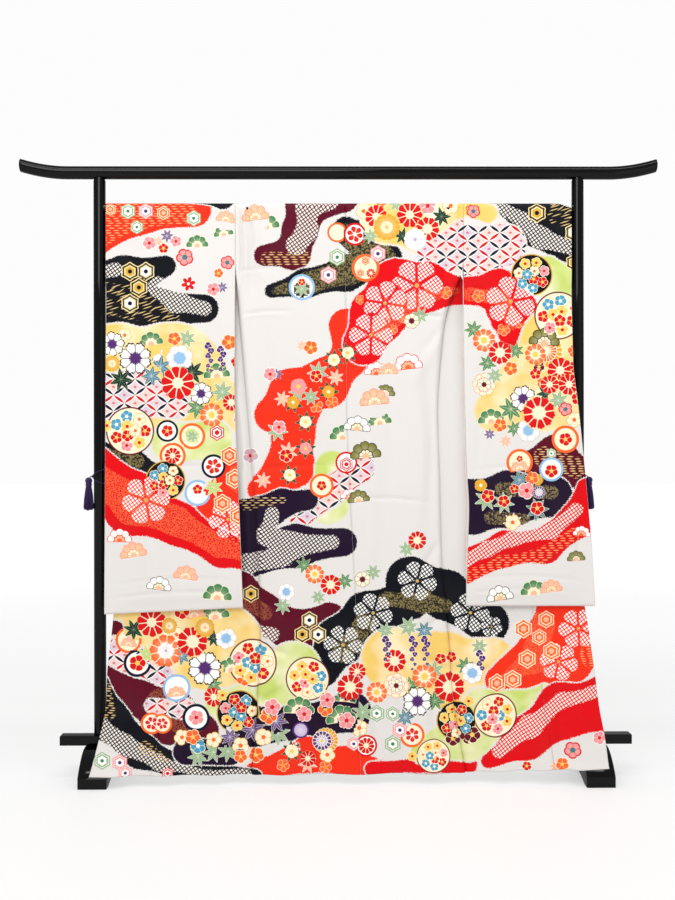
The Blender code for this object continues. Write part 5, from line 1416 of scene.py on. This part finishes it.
def makeBody(name, side, node, slot, creaseName):
    hem, seamTop, rod, turnHigh = cut["hem"], cut["sideSeamTop"], cut["rodHeight"], cut["turnHigh"]
    backHeights = np.concatenate([np.arange(hem, seamTop, 0.0052), np.arange(seamTop, rod, 0.0052), [rod]])
    frontHeights = np.concatenate([
        [rod], np.arange(rod - 0.008, turnHigh, -0.0085), np.arange(turnHigh, hem, -0.0062), [hem]])
    sideCount, neckCount, arcCount = 44, 18, 12
    count = sideCount + neckCount + 1

    def backAway(h):
        width = np.abs(sideSeam(side, h) - centreSeam(h))
        roll = np.linspace(0.0, cut["sideRoll"], 9)
        flat = np.linspace(cut["sideRoll"], width - cut["neckHalf"], sideCount - 7)[1:]
        neck = np.linspace(width - cut["neckHalf"], width - cut["seamGap"] / 2, neckCount + 1)[1:]
        return np.concatenate([roll, flat, neck]), width

    rows, planes = [], []
    for h in backHeights:
        away, width = backAway(h)
        seam = sideSeam(side, h)
        x = seam - side * away
        depth = read(drapes, 1, h)
        y = depth + backWave(away / width, h)
        base = np.stack([x, y + 0 * x, settled(x, h)], -1)
        rolled = 1 - ease(h, cut["sideSeamTop"] + 0.02, cut["armholeEnd"] - 0.01)
        angle = np.clip(1 - away / cut["sideRoll"], 0.0, 1.0) * cut["sideRollTurn"]
        inward = (1 - np.cos(angle)) / (1 - math.cos(cut["sideRollTurn"]))
        gap = read(drapes, 2, h) - depth - 0.00135
        rollX = seam - side * cut["sideRoll"] * (1 - np.sin(angle))
        near = away < cut["sideRoll"]
        x = np.where(near, x + (rollX - x) * rolled, x)
        y = y + np.where(near, gap * rolled * inward, 0.0)
        z = settled(x, h)
        u, v = photoPlane(base)
        y = y + creaseDepth(creaseName, u, v) * ease(away, 0.0, 0.02)
        y = y + seamDip(width - away) + puckers(away, h)
        rows.append(np.stack([x, y, z], -1))
        planes.append(np.stack([u, v], -1))
    away, width = backAway(cut["rodHeight"])
    shoulder = sideSeam(side, cut["rodHeight"]) - side * away
    top = float(photoPlane(np.array([0.0, 0.0, cut["rodHeight"]]))[1])
    for step in range(1, arcCount + 1):
        angle = math.pi * step / arcCount
        y = -cut["drapeRadius"] * math.cos(angle) + 0 * shoulder
        z = cut["rodHeight"] + cut["drapeRadius"] * math.sin(angle) + 0 * shoulder
        rows.append(np.stack([shoulder, y, z], -1))
        planes.append(np.stack([shoulder, 0 * shoulder + top + cut["drapeRadius"] * angle], -1))
    rows.append(np.stack([
        shoulder, 0 * shoulder + cut["drapeRadius"], 0 * shoulder + cut["rodHeight"] - cut["neckDrop"]], -1))
    planes.append(np.stack([shoulder, 0 * shoulder + top + 0.042 + cut["neckDrop"]], -1))
    backRows = len(rows)
    atShoulder = away[:sideCount + 1]
    for h in frontHeights[1:]:
        if h > cut["rodHeight"] - cut["neckDrop"] - 0.003:
            continue
        inner = frontEdge(side, h) - cut["seamGap"] / 2
        spaced = crowded(sideCount, inner, foldMiddle(h))
        gathered = atShoulder * inner / atShoulder[-1]
        mix = ease(h, cut["armholeEnd"], 1.58)
        along = spaced + (gathered - spaced) * mix
        if h <= cut["sideSeamTop"]:
            along[0] = -0.0008
        points, opened, facing = frontPoints(side, along, h)
        u, v = printPlace(points, opened, h)
        shift = creaseDepth("front", points[:, 0], v) * ease(along, 0.0, 0.03) + puckers(along, h)
        points[:, 1] += shift * np.where(facing < 0, 1.0, 0.25)
        points[:, 1] += seamDip(inner - along, 0.0016) * -np.sign(facing)
        full = np.repeat(points[-1:], count, 0)
        full[:sideCount + 1] = points
        plane = np.zeros((count, 2))
        plane[:sideCount + 1] = np.stack([u, v], -1)
        rows.append(full)
        planes.append(plane)
    rows, planes = np.array(rows), np.array(planes)

    def keep(row, column):
        return row < backRows - 1 or column < sideCount

    faces = gridFaces(len(rows), count, keep, turned=side == right)
    zone = (np.arange(len(rows)) >= backRows - 1).astype(int)[:, None]
    sheet = buildSheet(name, rows, faces, planes, zone)
    giveWall(sheet, slot, node, flatSizes["body"])
    return sheet


def makeOverlap(name, side, node, slot):
    tip, hem, turnHigh = cut["overlapTip"], cut["hem"], cut["turnHigh"]
    heights = np.concatenate([
        np.arange(tip - 0.003, turnHigh, -0.0085), np.arange(turnHigh, hem, -0.0055), [hem]])
    count = 34
    rows, planes = [], []
    for h in heights:
        inner = cut["frontWidth"] + cut["seamGap"] / 2
        outer = overlapEdge(h) - cut["seamGap"] / 2
        along = inner + crowded(count, outer - inner, foldMiddle(h) - cut["frontWidth"])
        points, opened, facing = frontPoints(side, along, h)
        u, v = printPlace(points, opened, h)
        shift = creaseDepth("front", points[:, 0], v) * np.where(facing < 0, 1.0, 0.25)
        points[:, 1] += shift + seamDip(along - inner, 0.0016) * -np.sign(facing)
        rows.append(points)
        planes.append(np.stack([u, v], -1))
    rows, planes = np.array(rows), np.array(planes)
    sheet = buildSheet(name, rows, gridFaces(len(rows), count + 1, turned=side == right), planes, 1)
    giveWall(sheet, slot, node, flatSizes["overlap"], area=overlapArea)
    return sheet


def makeCollar():
    middle = float(centreSeam(cut["rodHeight"]))
    top = cut["rodHeight"] - cut["neckDrop"] - cut["seamGap"]
    depth = cut["drapeRadius"]
    width, neck = cut["collarWidth"], cut["neckHalf"]

    def front(side, along, h):
        return frontPoints(side, np.array([along]), np.array([h]))[0][0]

    halves = []
    for side in (left, right):
        pairs = []
        for share in np.linspace(0.06, 1.0, 16):
            sewn = (middle + side * share * (neck - cut["seamGap"]), depth, top)
            free = (middle + side * share * (neck - width), depth, top - width)
            pairs.append((np.array(sewn), np.array(free)))
        free0 = np.array([middle + side * (neck - width), depth, top - width])
        edge0 = front(side, float(frontEdge(side, 1.49)) + width, 1.49)
        for h in np.arange(1.584, 1.495, -0.007):
            sewn = front(side, float(frontEdge(side, h)) + cut["seamGap"], h)
            share = (1.584 - h) / (1.584 - 1.49)
            pairs.append((sewn, free0 + (edge0 - free0) * share))
        for h in np.arange(1.49, cut["collarEnd"] - 0.004, -0.008):
            h = max(h, cut["collarEnd"])
            sewnAt = float(overlapEdge(h) if h < cut["overlapTip"] else frontEdge(side, h))
            slant = 1.0 + 0.12 * float(ease(-h, -cut["overlapTip"] - 0.02, -cut["overlapTip"] + 0.02))
            sewn = front(side, sewnAt + cut["seamGap"], h)
            pairs.append((sewn, front(side, sewnAt + width * slant, h)))
        halves.append(pairs)
    middlePair = (np.array([middle, depth, top]), np.array([middle, depth, top - width]))
    pairs = halves[0][::-1] + [middlePair] + halves[1]
    shares = np.array([0.0, 0.03, 0.1, 0.22, 0.36, 0.5, 0.64, 0.78, 0.9, 0.97, 1.0])
    rows = np.array([[sewn + (free - sewn) * s for s in shares] for sewn, free in pairs])
    rows[:, :, 1] += 0.0014 * np.sin(math.pi * shares) ** 0.6
    u, v = photoPlane(rows)
    sheet = buildSheet("collarBand", rows, gridFaces(len(rows), len(shares)), np.stack([u + 3.0, v], -1), 1)
    giveWall(sheet, "collar_silk", "collar", flatSizes["collar"])
    return sheet


def makeSleeve(name, side, node, slot, creaseName):
    table = sleeveEdges[side]
    bottoms = sleeveBottoms[side]
    cuffHeight = cut["rodHeight"] - cut["cuff"]
    shares = np.concatenate([[0.0, 0.006, 0.016], np.linspace(0.03, 0.97, 62), [0.984, 0.994, 1.0]])
    heightShares = np.linspace(0.0, 1.0, 212)
    arcCount = 12
    columns, planes = [], []
    for share in shares:
        bottom = bottoms[0] + (bottoms[1] - bottoms[0]) * share
        heights = cut["rodHeight"] + (bottom + 0.004 - cut["rodHeight"]) * heightShares

        def layer(sign):
            inner, outer = read(table, 1, heights), read(table, 2, heights)
            if sign > 0 and side == right:
                inner = inner - 0.004 * ease(heights, 0.5, 0.7) * (1 - ease(heights, 0.85, 1.1))
            x = inner + (outer - inner) * share
            closing = ease(share, 0.72, 1.0) * (1 - ease(heights, 1.36, 1.42))
            gap = read(drapes, 5, heights)
            gap = gap + (0.0022 - gap) * closing
            gap = gap + (0.0022 - gap) * (1 - ease(heights, bottom + 0.004, bottom + 0.045))
            swing = read(table, 3, heights) * ease(share, 0.45, 0.95)
            ripple = 0.0015 * math.sin(2 * math.pi * (share * 1.5 + 0.1)) * (1 - ease(heights, 1.2, 1.45))
            y = read(drapes, 4, heights) + swing + ripple
            plane = np.stack(photoPlane(np.stack([x, y - gap, heights], -1)), -1)
            crease = creaseDepth(creaseName, plane[:, 0], plane[:, 1])
            # the two layers crease together, so that they never cross
            y = y + crease * ease(share, 0.0, 0.04) * (1 - 0.6 * ease(share, 0.9, 1.0)) + sign * gap
            y = y + seamDip(share * abs(inner[0] - outer[0]), 0.0010) * (1 if sign < 0 else -1)
            return np.stack([x, y, heights], -1), plane

        near, nearPlane = layer(-1)
        far, farPlane = layer(1)
        over, overPlane = [], []
        for step in range(1, arcCount):
            angle = math.pi * step / arcCount
            over.append((near[0, 0], -cut["drapeRadius"] * math.cos(angle),
                         cut["rodHeight"] + cut["drapeRadius"] * math.sin(angle)))
            overPlane.append((nearPlane[0, 0], nearPlane[0, 1] + cut["drapeRadius"] * angle))
        lowest = (near[-1] + far[-1]) / 2 - np.array([0.0, 0.0, 0.0035])
        ring = np.concatenate([[lowest], near[::-1], over, far])
        farPlane = farPlane * np.array([-1.0, 1.0]) + np.array([0.06, 0.0])
        ringPlane = np.concatenate([[nearPlane[-1] - [0.0, 0.003]], nearPlane[::-1], overPlane, farPlane])
        columns.append(ring)
        planes.append(ringPlane)
    rows, planes = np.array(columns), np.array(planes)
    ringLength = rows.shape[1]
    faces = gridFaces(len(rows), ringLength, ring=True, turned=side == right)
    last = (len(rows) - 1) * ringLength
    nearSide = [last + 1 + i for i in range(len(heightShares))]
    farSide = [last + ringLength - 1 - i for i in range(len(heightShares))]
    closeFaces = [(last, farSide[0], nearSide[0])]
    flat = rows.reshape(-1, 3)
    for i in range(len(heightShares) - 1):
        if flat[nearSide[i + 1]][2] < cuffHeight + 0.004:
            closeFaces.append((nearSide[i], farSide[i], farSide[i + 1], nearSide[i + 1]))
    faces += [face if side == left else face[::-1] for face in closeFaces]
    sheet = buildSheet(name, rows, faces, planes, 2)
    giveWall(sheet, slot, node, flatSizes["sleeve"])
    return sheet


clothPieces = [
    makeBody("bodyLeftCloth", left, "body_left", "body_silk", "bodyLeft"),
    makeBody("bodyRightCloth", right, "body_right", "body_silk", "bodyRight"),
    makeOverlap("overlapLeftCloth", left, "overlap_left", "overlap_silk"),
    makeOverlap("overlapRightCloth", right, "overlap_right", "overlap_silk"),
    makeCollar(),
    makeSleeve("sleeveLeftCloth", left, "sleeve_left", "sleeve_silk", "sleeveLeft"),
    makeSleeve("sleeveRightCloth", right, "sleeve_right", "sleeve_silk", "sleeveRight"),
]
for piece in clothPieces:
    countTriangles(piece)
print("cloth made")

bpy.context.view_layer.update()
